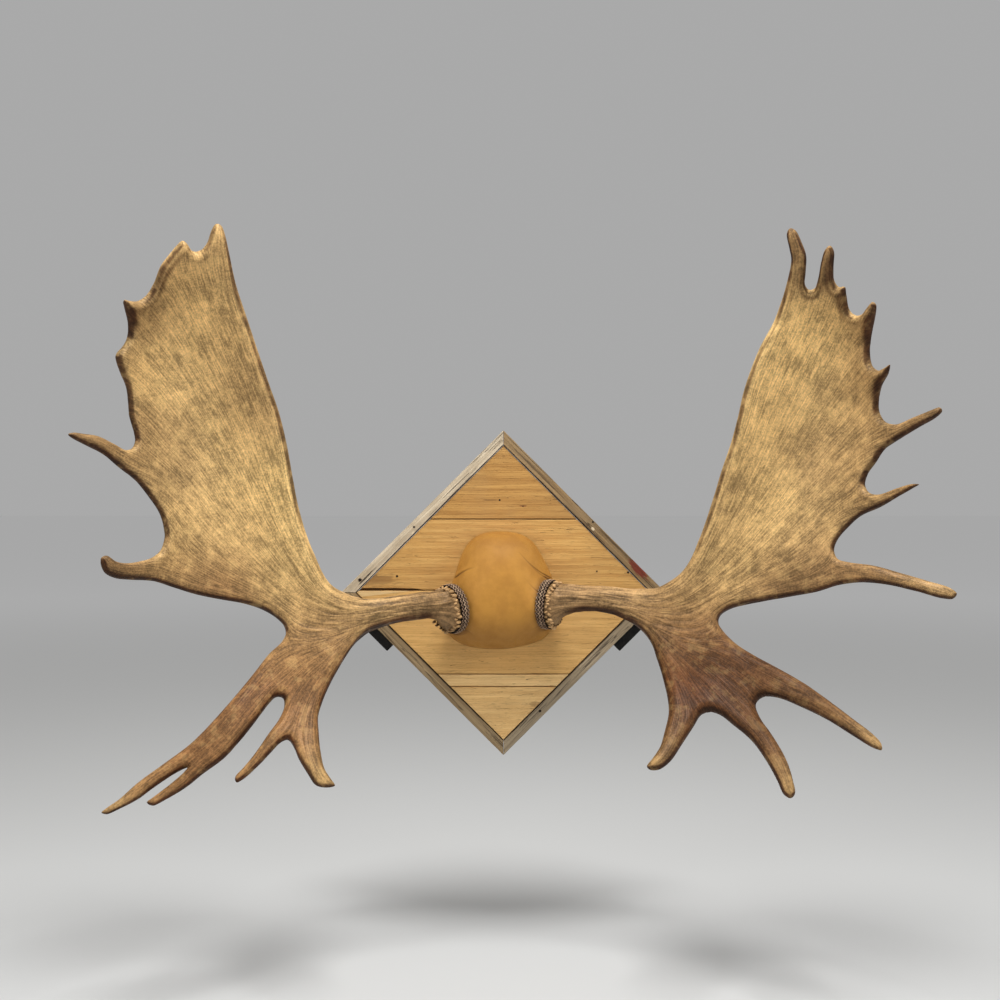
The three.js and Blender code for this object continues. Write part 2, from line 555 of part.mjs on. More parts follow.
/** The black block that steadies a lower rail against the wall. */
function wallBlock(side) {
  const block = new THREE.BoxGeometry(BLOCK.length, BLOCK.depth, BLOCK.proud);
  const out = PLAQUE_SIDE / 2 + GAP + BLOCK.proud / 2;
  block.translate(-BLOCK.along, -BLOCK.depth / 2, -out);
  block.rotateY(Math.PI / 4);
  if (side > 0) {
    block.scale(-1, 1, 1);
    block.setIndex([...block.index.array].reverse());
  }
  return block;
}

// ---------------------------------------------------------------- assembly

const group = new THREE.Group();

function addPiece(name, shape, colour, roughness = 0.7) {
  const geometry = shape instanceof THREE.BufferGeometry ? shape : geometryFromSolid(shape);
  const material = new THREE.MeshStandardMaterial({ color: colour, roughness, metalness: 0 });
  const mesh = new THREE.Mesh(geometry, material);
  mesh.name = name;
  group.add(mesh);
}

const SIDES = [['left', LEFT_ANTLER], ['right', RIGHT_ANTLER]];

SIDES.forEach(([side, antler]) => {
  Object.entries(antlerPieces(antler)).forEach(([part, solid]) => {
    addPiece(`${side}_antler_${part}`, solid, COLOURS.antler, 0.5);
  });
  addPiece(`${side}_braid`, braidSolid(footOf(antler)), COLOURS.braid, 0.6);
  addPiece(`${side}_wall_block`, wallBlock(antler.side), COLOURS.block, 0.8);
});
addPiece('skull_cap', skullCapSolid(SIDES.map(([, antler]) => footOf(antler))), COLOURS.leather, 0.45);

const panelHalf = PLAQUE_SIDE / Math.SQRT2 - (RAIL_WIDTH + RAIL_TO_BOARD_GAP) * Math.SQRT2;
boards(panelHalf).forEach((board, i) => addPiece(`board_${i + 1}`, board, COLOURS.board));
addPiece('rail_upper_left', rail(-1, 1), COLOURS.rail, 0.85);
addPiece('rail_upper_right', rail(1, 1), COLOURS.rail, 0.85);
addPiece('rail_lower_left', rail(-1, -1), COLOURS.rail, 0.85);
addPiece('rail_lower_right', rail(1, -1), COLOURS.rail, 0.85);

addPiece('backer_panel', boardSolid(diamondBand(panelHalf, -panelHalf, panelHalf), 0,
  BOARD_FRONT - BOARD_THICKNESS - GAP), COLOURS.backer);

export default group;
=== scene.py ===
"""A pair of moose antlers on a leather-covered skull cap, fixed to a diamond-hung wooden plaque.

The pieces are worked out in millimetres and become Blender objects in metres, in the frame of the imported
model: +Z up, the wall is the plane y = 0, and "depth" is always the distance from the wall, towards -Y.
"""
import logging
import math
from collections.abc import Callable, Sequence
from dataclasses import dataclass, field
from enum import Enum

import bmesh
import bpy
import numpy as np
from bpy.types import Material, Node, NodeSocket, NodeTree, Object, bpy_prop_collection
from mathutils import Matrix, Vector, noise
from mathutils.geometry import delaunay_2d_cdt


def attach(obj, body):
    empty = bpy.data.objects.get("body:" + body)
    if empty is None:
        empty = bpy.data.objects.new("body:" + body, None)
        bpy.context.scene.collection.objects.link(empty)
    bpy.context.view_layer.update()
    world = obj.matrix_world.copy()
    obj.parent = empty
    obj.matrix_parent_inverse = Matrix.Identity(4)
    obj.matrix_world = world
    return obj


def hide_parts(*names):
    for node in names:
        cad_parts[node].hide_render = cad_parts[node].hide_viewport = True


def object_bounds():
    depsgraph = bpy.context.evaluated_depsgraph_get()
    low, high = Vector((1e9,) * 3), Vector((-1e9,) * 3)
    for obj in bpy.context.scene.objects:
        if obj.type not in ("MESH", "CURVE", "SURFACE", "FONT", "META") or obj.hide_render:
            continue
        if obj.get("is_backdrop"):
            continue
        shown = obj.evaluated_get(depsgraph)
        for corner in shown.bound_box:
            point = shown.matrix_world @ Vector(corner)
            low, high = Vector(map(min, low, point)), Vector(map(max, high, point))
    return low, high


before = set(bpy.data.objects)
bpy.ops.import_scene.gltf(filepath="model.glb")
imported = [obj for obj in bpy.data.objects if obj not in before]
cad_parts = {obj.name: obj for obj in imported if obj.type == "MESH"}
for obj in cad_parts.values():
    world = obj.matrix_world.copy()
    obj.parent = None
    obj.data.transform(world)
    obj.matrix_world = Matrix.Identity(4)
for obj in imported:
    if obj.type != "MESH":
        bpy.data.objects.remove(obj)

CAD_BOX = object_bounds()
LOG = logging.getLogger("antler_mount")

MM = 0.001
ROOT = "root"

EYE = np.array([-6.0, -2250.0, 164.0])  # where the antlers' flat patterns were drawn from
PATTERN_DISTANCE = 2000.0  # from the eye to the sheet that they were drawn on

Pair = tuple[float, float]
Colour = tuple[float, float, float]
PointRule = Callable[[np.ndarray], np.ndarray]  # gives a value for each row of a table of points


class Side(Enum):
    """The two sides of the mount, as someone facing it sees them."""

    LEFT = -1
    RIGHT = 1

    @property
    def word(self) -> str:
        """The side's name in lower case."""
        return self.name.lower()


# ---- flat patterns


def on_sight_line(places: np.ndarray, depth: np.ndarray | float) -> np.ndarray:
    """Carries pattern points along their sight lines.

    Args:
        places: pattern points, one row [u, v] each.
        depth: distance from the wall, one value or one for each point.

    Returns:
        One row [x, y, z] for each point, in millimetres.
    """
    reach = (-EYE[1] - depth) / PATTERN_DISTANCE
    across = EYE[0] + (places[:, 0] - EYE[0]) * reach
    up = EYE[2] + (places[:, 1] - EYE[2]) * reach
    return np.column_stack([across, np.zeros(len(places)) - depth, up])


def to_pattern(points: np.ndarray) -> np.ndarray:
    """Gives the pattern points [u, v] at which points in space are seen from the eye."""
    reach = ((points[:, 1] - EYE[1]) / PATTERN_DISTANCE)[:, None]
    return EYE[[0, 2]] + (points[:, [0, 2]] - EYE[[0, 2]]) / reach


def bent_plate(samples: np.ndarray) -> PointRule:
    """Bends a thin plate through samples.

    Args:
        samples: one row [u, v, value] each.

    Returns:
        A function from pattern points to the plate's values there.
    """
    unit = 100.0
    places, values = samples[:, :2] / unit, samples[:, 2]

    def bend(points: np.ndarray) -> np.ndarray:
        """The plate's response at each point to a load at each sample."""
        square = ((points[:, None] - places[None]) ** 2).sum(2)
        return square * np.log(np.maximum(square, 1e-12))

    flat = np.column_stack([np.ones(len(places)), places])
    matrix = np.block([[bend(places), flat], [flat.T, np.zeros((3, 3))]])
    weights = np.linalg.solve(matrix, np.concatenate([values, np.zeros(3)]))

    def height(points: np.ndarray) -> np.ndarray:
        """The plate's height at pattern points."""
        scaled = points / unit
        return bend(scaled) @ weights[:-3] + weights[-3] + scaled @ weights[-2:]

    return height


def smooth_outline(corners: Sequence[Pair], step: float) -> tuple[np.ndarray, np.ndarray]:
    """Samples a smooth closed curve through corners.

    Args:
        corners: the points that the curve passes through, in order.
        step: about how far apart the samples are.

    Returns:
        The samples, counterclockwise, and the number of the corner that each one follows.
    """
    middle = np.array(corners, float)
    order = np.arange(len(middle))
    onward = np.roll(middle, -1, 0)
    if (middle[:, 0] * onward[:, 1] - onward[:, 0] * middle[:, 1]).sum() < 0:
        middle, order = middle[::-1], order[::-1]
    before, after, beyond = np.roll(middle, 1, 0), np.roll(middle, -1, 0), np.roll(middle, -2, 0)

    def gap(start: np.ndarray, end: np.ndarray) -> np.ndarray:
        """The curve's own time between two corners, the root of their distance."""
        return np.sqrt(np.linalg.norm(end - start, axis=1))[:, None]

    first, second, third = gap(before, middle), gap(middle, after), gap(after, beyond)
    onward_slope = (after - middle) / second
    leave = ((middle - before) / first - (after - before) / (first + second) + onward_slope) * second
    reach = (onward_slope - (beyond - middle) / (second + third) + (beyond - after) / third) * second
    samples, owners = [], []
    for i, length in enumerate(np.linalg.norm(after - middle, axis=1)):
        parts = max(1, round(length / step))
        time = (np.arange(parts) / parts)[:, None]
        start, end, out, into = middle[i], after[i], leave[i], reach[i]
        samples.append(start + out * time + (3 * (end - start) - 2 * out - into) * time**2
                       + (2 * (start - end) + out + into) * time**3)
        owners.append(np.full(parts, order[i]))
    return np.concatenate(samples), np.concatenate(owners)


def rim_distance(points: np.ndarray, rim: np.ndarray) -> np.ndarray:
    """Measures how far points lie inside a closed polygon, with negative values outside it."""
    start, edge = rim, np.roll(rim, -1, 0) - rim
    square_length = (edge**2).sum(1)
    chunk = 1200
    result = np.empty(len(points))
    for first in range(0, len(points), chunk):
        part = points[first:first + chunk]
        offset = part[:, None] - start[None]
        along = np.clip((offset * edge).sum(2) / square_length, 0, 1)
        nearest = np.sqrt(((offset - along[..., None] * edge) ** 2).sum(2).min(1))
        above = start[:, 1] > part[:, 1:2]
        end_above = start[:, 1] + edge[:, 1] > part[:, 1:2]
        with np.errstate(divide="ignore", invalid="ignore"):
            crossing = start[:, 0] + (part[:, 1:2] - start[:, 1]) / edge[:, 1] * edge[:, 0]
        inside = ((above != end_above) & (part[:, 0:1] < crossing)).sum(1) % 2 == 1
        result[first:first + chunk] = np.where(inside, nearest, -nearest)
    return result


def hexagon_points(rim: np.ndarray, spacing: float) -> np.ndarray:
    """Lays out a honeycomb of points inside a closed polygon, row by row."""
    end = np.roll(rim, -1, 0)
    rows = []
    height = spacing * math.sqrt(3) / 2
    for row, v in enumerate(np.arange(rim[:, 1].min() + 0.37 * height, rim[:, 1].max(), height)):
        hit = (rim[:, 1] > v) != (end[:, 1] > v)
        share = (v - rim[hit, 1]) / (end[hit, 1] - rim[hit, 1])
        crossings = np.sort(rim[hit, 0] + share * (end[hit, 0] - rim[hit, 0]))
        for low, high in crossings.reshape(-1, 2):
            first = math.ceil(low / spacing - row % 2 / 2) + row % 2 / 2
            across = np.arange(first * spacing, high, spacing)
            rows.append(np.column_stack([across, np.full(len(across), v)]))
    return np.concatenate(rows)


@dataclass
class Filling:
    """The inside of a smooth closed outline, filled with small triangles.

    The first rim_count points are the rim, in order. owners gives the outline corner that each of those
    follows, and inset is each point's distance from the rim.
    """

    points: np.ndarray
    triangles: np.ndarray
    rim_count: int
    owners: np.ndarray
    inset: np.ndarray

    @classmethod
    def of(cls, corners: Sequence[Pair], step: float, spacing: float, rows: Sequence[float],
           fine: float | None = None, where_fine: PointRule | None = None) -> "Filling":
        """Fills an outline.

        Args:
            corners: the outline's points, in order.
            step: distance between rim points.
            spacing: distance between inner points away from the rim.
            rows: distances from the rim of the rows of points that run beside it.
            fine: closer distance between inner points, where it is wanted.
            where_fine: tells which pattern points have it.

        Returns:
            The filled outline, with no edge that joins two rim points across it.
        """
        rim, owners = smooth_outline(corners, step)
        along = np.roll(rim, -1, 0) - np.roll(rim, 1, 0)
        inward = np.column_stack([-along[:, 1], along[:, 0]]) / np.linalg.norm(along, axis=1)[:, None]
        taken: dict[tuple[int, int], list[np.ndarray]] = {}
        inner: list[np.ndarray] = []
        for row in rows:
            candidates = rim + inward * row
            clear = rim_distance(candidates, rim) > 0.93 * row
            cls._thin_out(candidates[clear], 0.42 * min(step, row + 1.0), taken, inner)
        field_points = hexagon_points(rim, spacing)
        if where_fine:
            close = hexagon_points(rim, fine)
            field_points = np.vstack([field_points[~where_fine(field_points)], close[where_fine(close)]])
        clear = rim_distance(field_points, rim) > rows[-1] + 0.45 * (fine or spacing)
        inner.extend(field_points[clear])
        for _ in range(8):
            points = np.vstack([rim, np.array(inner)])
            triangles = cls._triangulate(points, len(rim))
            edges = np.sort(np.vstack([triangles[:, [0, 1]], triangles[:, [1, 2]], triangles[:, [2, 0]]]), 1)
            across = np.unique(edges[edges[:, 1] < len(rim)], axis=0)
            gaps = across[:, 1] - across[:, 0]
            chords = across[(gaps > 1) & (gaps < len(rim) - 1)]
            if not len(chords):
                break
            inner.extend(points[chords].mean(1))
        inset = np.maximum(rim_distance(points, rim), 0)
        inset[:len(rim)] = 0
        return cls(points, triangles, len(rim), owners, inset)

    @staticmethod
    def _thin_out(candidates: np.ndarray, gap: float, taken: dict, kept: list) -> None:
        """Adds the candidates that keep a gap to those already kept."""
        cell = 4.0
        for point in candidates:
            column, row = int(point[0] // cell), int(point[1] // cell)
            near = [q for i in (-1, 0, 1) for k in (-1, 0, 1) for q in taken.get((column + i, row + k), ())]
            if all(abs(q[0] - point[0]) + abs(q[1] - point[1]) > gap for q in near):
                kept.append(point)
                taken.setdefault((column, row), []).append(point)

    @staticmethod
    def _triangulate(points: np.ndarray, rim_count: int) -> np.ndarray:
        """Triangulates points inside the polygon that the first ones form, counterclockwise."""
        inside_only = 1
        _, _, faces, origins, _, _ = delaunay_2d_cdt(
            [Vector(point) for point in points], [], [list(range(rim_count))], inside_only, 1e-7)
        source = np.array([origin[0] for origin in origins])
        triangles = source[np.array(faces)]
        a, b, c = (points[triangles[:, k]] for k in range(3))
        twist = (b[:, 0] - a[:, 0]) * (c[:, 1] - a[:, 1]) - (b[:, 1] - a[:, 1]) * (c[:, 0] - a[:, 0])
        triangles[twist < 0] = triangles[twist < 0][:, ::-1]
        return triangles

    def _links(self) -> tuple[np.ndarray, np.ndarray, np.ndarray, np.ndarray]:
        """The springs of a stretched film: both ends and stiffness of each, and each point's area share."""
        ends, others, stiffness = [], [], []
        load = np.zeros(len(self.points))
        for turn in range(3):
            a, b, c = (self.triangles[:, (turn + k) % 3] for k in range(3))
            to_b, to_c = self.points[b] - self.points[a], self.points[c] - self.points[a]
            area = np.maximum(np.abs(to_b[:, 0] * to_c[:, 1] - to_b[:, 1] * to_c[:, 0]), 1e-9)
            ends.append(b)
            others.append(c)
            stiffness.append((to_b * to_c).sum(1) / area / 2)
            load += np.bincount(a, area / 3, len(self.points))
        return np.concatenate(ends), np.concatenate(others), np.concatenate(stiffness), load

    def relax(self, rim_values: np.ndarray, lift: float) -> np.ndarray:
        """Lets a film come to rest over the outline.

        Args:
            rim_values: the film's height at each rim point.
            lift: upward load for each unit of area; 2 gives r^2 - s^2 across a strip 2 r wide.

        Returns:
            The film's height at every point.
        """
        ends, others, stiffness, load = self._links()
        count, rim = len(self.points), self.rim_count
        total = np.bincount(ends, stiffness, count) + np.bincount(others, stiffness, count)

        def pull(heights: np.ndarray) -> np.ndarray:
            """The film's own pull at each point."""
            return (total * heights - np.bincount(ends, stiffness * heights[others], count)
                    - np.bincount(others, stiffness * heights[ends], count))

        height = np.zeros(count)
        height[:rim] = rim_values
        height[rim:] = rim_values.mean()
        rest = load * lift / 2 - pull(height)
        rest[:rim] = 0
        ease = 1 / np.maximum(total, 1e-9)
        step = rest * ease
        strength = rest @ step
        target = 1e-9 * max(strength, 1e-30)
        for _ in range(1500):
            answer = pull(step)
            answer[:rim] = 0
            share = strength / (step @ answer)
            height += share * step
            rest -= share * answer
            eased = rest * ease
            fresh = rest @ eased
            if fresh < target:
                break
            step = eased + fresh / strength * step
            strength = fresh
        return height

    def steepness(self, heights: np.ndarray) -> np.ndarray:
        """Gives how steeply a film rises at every point, averaged over the triangles there."""
        a, b, c = (self.points[self.triangles[:, k]] for k in range(3))
        to_b, to_c = b - a, c - a
        area = np.maximum(to_b[:, 0] * to_c[:, 1] - to_b[:, 1] * to_c[:, 0], 1e-9)
        rise_b = heights[self.triangles[:, 1]] - heights[self.triangles[:, 0]]
        rise_c = heights[self.triangles[:, 2]] - heights[self.triangles[:, 0]]
        slope = np.hypot(rise_b * to_c[:, 1] - rise_c * to_b[:, 1], rise_c * to_b[:, 0] - rise_b * to_c[:, 0])
        corners = self.triangles.ravel()
        sums = np.bincount(corners, np.repeat(slope, 3), len(self.points))
        return sums / np.maximum(np.bincount(corners, np.repeat(area, 3), len(self.points)), 1e-9)

    def closed_faces(self) -> np.ndarray:
        """Triangles of the front sheet and, turned over, of the back sheet, which shares the rim."""
        back = np.where(self.triangles < self.rim_count, self.triangles,
                        self.triangles + len(self.points) - self.rim_count)
        return np.vstack([self.triangles, back[:, ::-1]])

    def closed(self, front: np.ndarray, back: np.ndarray) -> np.ndarray:
        """Joins what belongs to the front sheet and to the back sheet in one list of vertices."""
        return np.concatenate([front, back[self.rim_count:]])


# ---- meshes


def new_object(name: str, vertices: np.ndarray, faces: np.ndarray | list, smooth: bool = True) -> Object:
    """Makes a mesh object.

    Args:
        name: the object's name.
        vertices: rows [x, y, z] in millimetres.
        faces: vertex numbers of each face.
        smooth: whether its faces are shaded smooth.

    Returns:
        The object, linked to the scene.
    """
    mesh = bpy.data.meshes.new(name)
    mesh.from_pydata((np.asarray(vertices) * MM).tolist(), [], [list(map(int, face)) for face in faces])
    mesh.update()
    mesh.shade_smooth() if smooth else mesh.shade_flat()
    made = bpy.data.objects.new(name, mesh)
    bpy.context.scene.collection.objects.link(made)
    return made


def read_vertices(piece: Object) -> np.ndarray:
    """Reads a mesh's vertices, in millimetres."""
    flat = np.zeros(len(piece.data.vertices) * 3)
    piece.data.vertices.foreach_get("co", flat)
    return flat.reshape(-1, 3) / MM


def write_vertices(piece: Object, vertices: np.ndarray) -> None:
    """Moves a mesh's vertices to new places, in millimetres."""
    piece.data.vertices.foreach_set("co", (vertices * MM).ravel())
    piece.data.update()


def store(piece: Object, name: str, values: np.ndarray) -> None:
    """Keeps one number or one row of three for each vertex as a named attribute."""
    kind, key = ("FLOAT", "value") if values.ndim == 1 else ("FLOAT_VECTOR", "vector")
    attribute = piece.data.attributes.new(name, kind, "POINT")
    attribute.data.foreach_set(key, values.astype(np.float32).ravel())


def baked(piece: Object) -> Object:
    """Applies all modifiers of a piece to its mesh."""
    bpy.context.view_layer.update()
    graph = bpy.context.evaluated_depsgraph_get()
    mesh = bpy.data.meshes.new_from_object(piece.evaluated_get(graph), preserve_all_data_layers=True,
                                           depsgraph=graph)
    piece.modifiers.clear()
    old = piece.data
    piece.data = mesh
    mesh.name = piece.name
    bpy.data.meshes.remove(old)
    return piece


def vertex_normals(vertices: np.ndarray, triangles: np.ndarray) -> np.ndarray:
    """Gives each vertex the mean outward direction of its triangles, weighted by their size."""
    a, b, c = (vertices[triangles[:, k]] for k in range(3))
    across = np.cross(b - a, c - a)
    sums = np.zeros_like(vertices)
    for axis in range(3):
        sums[:, axis] = np.bincount(triangles.ravel(), np.repeat(across[:, axis], 3), len(vertices))
    return sums / np.maximum(np.linalg.norm(sums, axis=1), 1e-12)[:, None]


def ramp(values: np.ndarray, low: float, high: float) -> np.ndarray:
    """Rises smoothly from 0 at low to 1 at high, or falls where high is the lower one."""
    share = np.clip((values - low) / (high - low), 0, 1)
    return share * share * (3 - 2 * share)


def perlin(places: np.ndarray) -> np.ndarray:
    """Smooth noise, about -0.8 to 0.8, at rows of three numbers."""
    return np.array([noise.noise(place) for place in places.tolist()])


def turned(name: str, profile: Sequence[Pair], segments: int) -> Object:
    """Turns a closed profile round the Z axis.

    Args:
        name: the object's name.
        profile: points [radius, along] in millimetres, in order, all off the axis.
        segments: how many steps go round.

    Returns:
        A closed ring.
    """
    radius, along = np.array(profile, float).T
    angle = (2 * math.pi * np.arange(segments) / segments)[:, None]
    vertices = np.stack([radius * np.cos(angle), radius * np.sin(angle), along + 0 * angle], 2)
    here = np.arange(segments * len(radius)).reshape(segments, -1)
    beside = np.roll(here, -1, 1)
    faces = np.stack([here, beside, np.roll(beside, -1, 0), np.roll(here, -1, 0)], 2)
    made = new_object(name, vertices.reshape(-1, 3), faces.reshape(-1, 4))
    face_outwards(made)
    return made


def face_outwards(piece: Object) -> None:
    """Makes all faces of a closed mesh point outwards."""
    work = bmesh.new()
    work.from_mesh(piece.data)
    bmesh.ops.recalc_face_normals(work, faces=work.faces)
    work.to_mesh(piece.data)
    work.free()


def finish_piece(piece: Object, material: Material, slot: str, *nodes: str) -> Object:
    """Dresses a piece and puts it on the mount.

    Args:
        piece: the finished mesh object.
        material: its only material.
        slot: the name of a material slot; not used.
        nodes: the frame's nodes that it stands for.

    Returns:
        The piece.
    """
    piece.data.materials.clear()
    piece.data.materials.append(material)
    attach(piece, ROOT)
    if nodes:
        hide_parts(*nodes)
    LOG.info("%s: %d faces", piece.name, len(piece.data.polygons))
    return piece


# ---- node wiring


def tint(red: int, green: int, blue: int) -> Colour:
    """Turns a colour given as 0 to 255 on a screen into the light that it reflects."""
    def linear(value: int) -> float:
        """One channel."""
        share = value / 255
        return share / 12.92 if share <= 0.04045 else ((share + 0.055) / 1.055) ** 2.4
    return linear(red), linear(green), linear(blue)


class Wiring:
    """Adds nodes to a node tree and joins their sockets."""

    def __init__(self, tree: NodeTree) -> None:
        """Starts on a tree."""
        self.tree = tree

    def feed(self, socket: NodeSocket, value: object) -> None:
        """Gives a socket a value, or the output that drives it."""
        if isinstance(value, NodeSocket):
            self.tree.links.new(value, socket)
        elif socket.type == "RGBA" and len(value) == 3:
            socket.default_value = (*value, 1)
        else:
            socket.default_value = value

    def add(self, kind: str, inputs: dict | None = None, **settings: object) -> Node:
        """Adds a node.

        Args:
            kind: Blender's name for it.
            inputs: value or driving output for each input, by name or number.
            settings: the node's own properties.

        Returns:
            The node.
        """
        node = self.tree.nodes.new(kind)
        for name, value in settings.items():
            setattr(node, name, value)
        for name, value in (inputs or {}).items():
            self.feed(node.inputs[name], value)
        return node

    def math(self, operation: str, *values: object) -> NodeSocket:
        """A sum, product or other simple operation."""
        return self.add("ShaderNodeMath", dict(enumerate(values)), operation=operation).outputs[0]

    def ramp(self, value: object, low: float, high: float, start: float = 0.0,
             end: float = 1.0) -> NodeSocket:
        """Goes smoothly from start to end as the value goes from low to high."""
        inputs = dict(enumerate((value, low, high, start, end)))
        return self.add("ShaderNodeMapRange", inputs, interpolation_type="SMOOTHSTEP").outputs[0]

    def mix(self, share: object, first: object, second: object, blend: str = "MIX") -> NodeSocket:
        """Mixes two colours."""
        inputs = {0: share, 6: first, 7: second}
        return self.add("ShaderNodeMix", inputs, data_type="RGBA", blend_type=blend).outputs[2]

    def layered(self, colour: object, *layers: tuple[object, object, object]) -> NodeSocket:
        """Lays colours over a first one, each given by its mask, its strength and its colour."""
        for mask, strength, shade in layers:
            colour = self.mix(self.math("MULTIPLY", mask, strength), colour, shade)
        return colour

    def split(self, vector: object) -> bpy_prop_collection:
        """The three numbers of a vector."""
        return self.add("ShaderNodeSeparateXYZ", {0: vector}).outputs

    def vector(self, *numbers: object) -> NodeSocket:
        """A vector of three numbers."""
        return self.add("ShaderNodeCombineXYZ", dict(enumerate(numbers))).outputs[0]

    def place(self) -> NodeSocket:
        """The place on the mount, in metres."""
        return self.add("ShaderNodeTexCoord").outputs["Object"]

    def carried(self, name: str, output: str = "Fac") -> NodeSocket:
        """What the vertices carry under a name."""
        return self.add("ShaderNodeAttribute", attribute_name=name).outputs[output]

    def stretched(self, vector: object, scale: object) -> NodeSocket:
        """Scales a pattern's coordinates along each axis."""
        return self.add("ShaderNodeVectorMath", {0: vector, 1: scale}, operation="MULTIPLY").outputs[0]

    def noise(self, vector: object, scale: object, detail: float = 3.0, roughness: float = 0.55,
              distortion: float = 0.0) -> NodeSocket:
        """Cloudy noise, about 0.3 to 0.7."""
        inputs = {"Vector": vector, "Scale": scale, "Detail": detail, "Roughness": roughness,
                  "Distortion": distortion}
        return self.add("ShaderNodeTexNoise", inputs).outputs["Fac"]

    def group(self, tree: NodeTree, inputs: dict) -> bpy_prop_collection:
        """Places a node group and gives its outputs."""
        return self.add("ShaderNodeGroup", inputs, node_tree=tree).outputs


def new_group(name: str, inputs: dict[str, object], outputs: Sequence[str]) -> tuple[
        Wiring, bpy_prop_collection, Node]:
    """Starts a shader node group.

    Args:
        name: the group's name.
        inputs: default value of each input; a row of three makes a vector, a number a float.
        outputs: names of the float outputs.

    Returns:
        Its wiring, its inputs' sockets by name, and its output node.
    """
    tree = bpy.data.node_groups.new(name, "ShaderNodeTree")
    for socket_name, value in inputs.items():
        kind = "NodeSocketVector" if isinstance(value, tuple) else "NodeSocketFloat"
        socket = tree.interface.new_socket(socket_name, in_out="INPUT", socket_type=kind)
        socket.default_value = value
    for socket_name in outputs:
        tree.interface.new_socket(socket_name, in_out="OUTPUT", socket_type="NodeSocketFloat")
    wiring = Wiring(tree)
    return wiring, wiring.add("NodeGroupInput").outputs, wiring.add("NodeGroupOutput")


class Patterns:
    """The shader node groups that several finishes use, each built once."""

    def __init__(self) -> None:
        """Builds the groups."""
        self.cloud = self._cloud()
        self.grain = self._grain()
        self.streaks = self._streaks()

    def stain(self, wiring: Wiring, place: NodeSocket, cloud_scale: float,
              speck_scale: float) -> bpy_prop_collection:
        """Places the uneven staining and gives its outputs, Cloud and Speck."""
        return wiring.group(self.cloud, {"Vector": place, "Cloud scale": cloud_scale,
                                         "Speck scale": speck_scale})

    @staticmethod
    def _streaks() -> NodeTree:
        """Streaks that follow growth lines and keep their real width where the lines spread or crowd.

        Flow is the place across the lines, round the edge and along them in millimetres, and Crowd how fast
        the first changes across. Two neighbouring octaves are blended, so that no seam shows.
        """
        wiring, entry, end = new_group(
            "growth_streaks",
            {"Flow": (0.0, 0.0, 0.0), "Crowd": 0.01, "Width": 4.0, "Length": 60.0, "Seed": 0.0},
            ("Value", "Line"))
        calc = wiring.math
        crowding = calc("MULTIPLY", entry["Width"], entry["Crowd"])
        octave = calc("MULTIPLY", -1.0, calc("LOGARITHM", crowding, 2.0))
        whole, share = calc("FLOOR", octave), calc("FRACT", octave)
        across, edge, along = wiring.split(entry["Flow"])
        run = calc("ADD", calc("DIVIDE", along, entry["Length"]), entry["Seed"])
        layers = []
        for step in (0.0, 1.0):
            pitch = calc("POWER", 2.0, calc("ADD", whole, step))
            place = wiring.vector(calc("MULTIPLY", across, pitch), calc("ADD", edge, entry["Seed"]), run)
            layers.append(calc("SUBTRACT", wiring.noise(place, 1.0, 2, 0.5), 0.5))
        rest = calc("SUBTRACT", 1.0, share)
        total = calc("ADD", calc("MULTIPLY", layers[0], rest), calc("MULTIPLY", layers[1], share))
        spread = calc("SQRT", calc("ADD", calc("MULTIPLY", rest, rest), calc("MULTIPLY", share, share)))
        value = calc("DIVIDE", total, spread)
        wiring.feed(end.inputs["Value"], calc("ADD", value, 0.5))
        wiring.feed(end.inputs["Line"], wiring.ramp(calc("ABSOLUTE", value), 0.02, 0.0))
        return wiring.tree

    @staticmethod
    def _cloud() -> NodeTree:
        """Uneven staining: broad clouds and fine specks."""
        wiring, entry, end = new_group(
            "uneven_stain", {"Vector": (0.0, 0.0, 0.0), "Cloud scale": 18.0, "Speck scale": 400.0},
            ("Cloud", "Speck"))
        for name, detail, low, high in (("Cloud", 4.0, 0.34, 0.66), ("Speck", 2.0, 0.35, 0.65)):
            value = wiring.noise(entry["Vector"], entry[f"{name} scale"], detail, 0.6)
            wiring.feed(end.inputs[name], wiring.ramp(value, low, high))
        return wiring.tree

    @staticmethod
    def _grain() -> NodeTree:
        """Wood grain along X: year rings, fine fibres, short pores and a few long cracks."""
        wiring, entry, end = new_group(
            "wood_grain", {"Vector": (0.0, 0.0, 0.0), "Ring scale": 60.0, "Crack share": 0.5},
            ("Rings", "Fibres", "Pores", "Cracks"))
        calc, vector = wiring.math, entry["Vector"]

        def drawn_out(scale: Sequence[float], *settings: float) -> NodeSocket:
            """Noise that is drawn out along the grain."""
            return wiring.noise(wiring.stretched(vector, scale), 1.0, *settings)

        warp = calc("MULTIPLY", drawn_out((2.6, 16, 16), 3), 14.0)
        phase = calc("ADD", calc("MULTIPLY", wiring.split(vector)["Z"], entry["Ring scale"]), warp)
        narrow = calc("ABSOLUTE", calc("SUBTRACT", drawn_out((2.4, 95, 95), 3, 0.6, 0.4), 0.5))
        for name, value in (
                ("Rings", calc("POWER", calc("ABSOLUTE", calc("SINE", phase)), 1.6)),
                ("Fibres", wiring.ramp(drawn_out((9, 520, 520), 4, 0.62), 0.32, 0.68)),
                ("Pores", wiring.ramp(drawn_out((80, 1700, 1700), 2, 0.5), 0.62, 0.72)),
                ("Cracks", calc("LESS_THAN", narrow, calc("MULTIPLY", entry["Crack share"], 0.02)))):
            wiring.feed(end.inputs[name], value)
        return wiring.tree


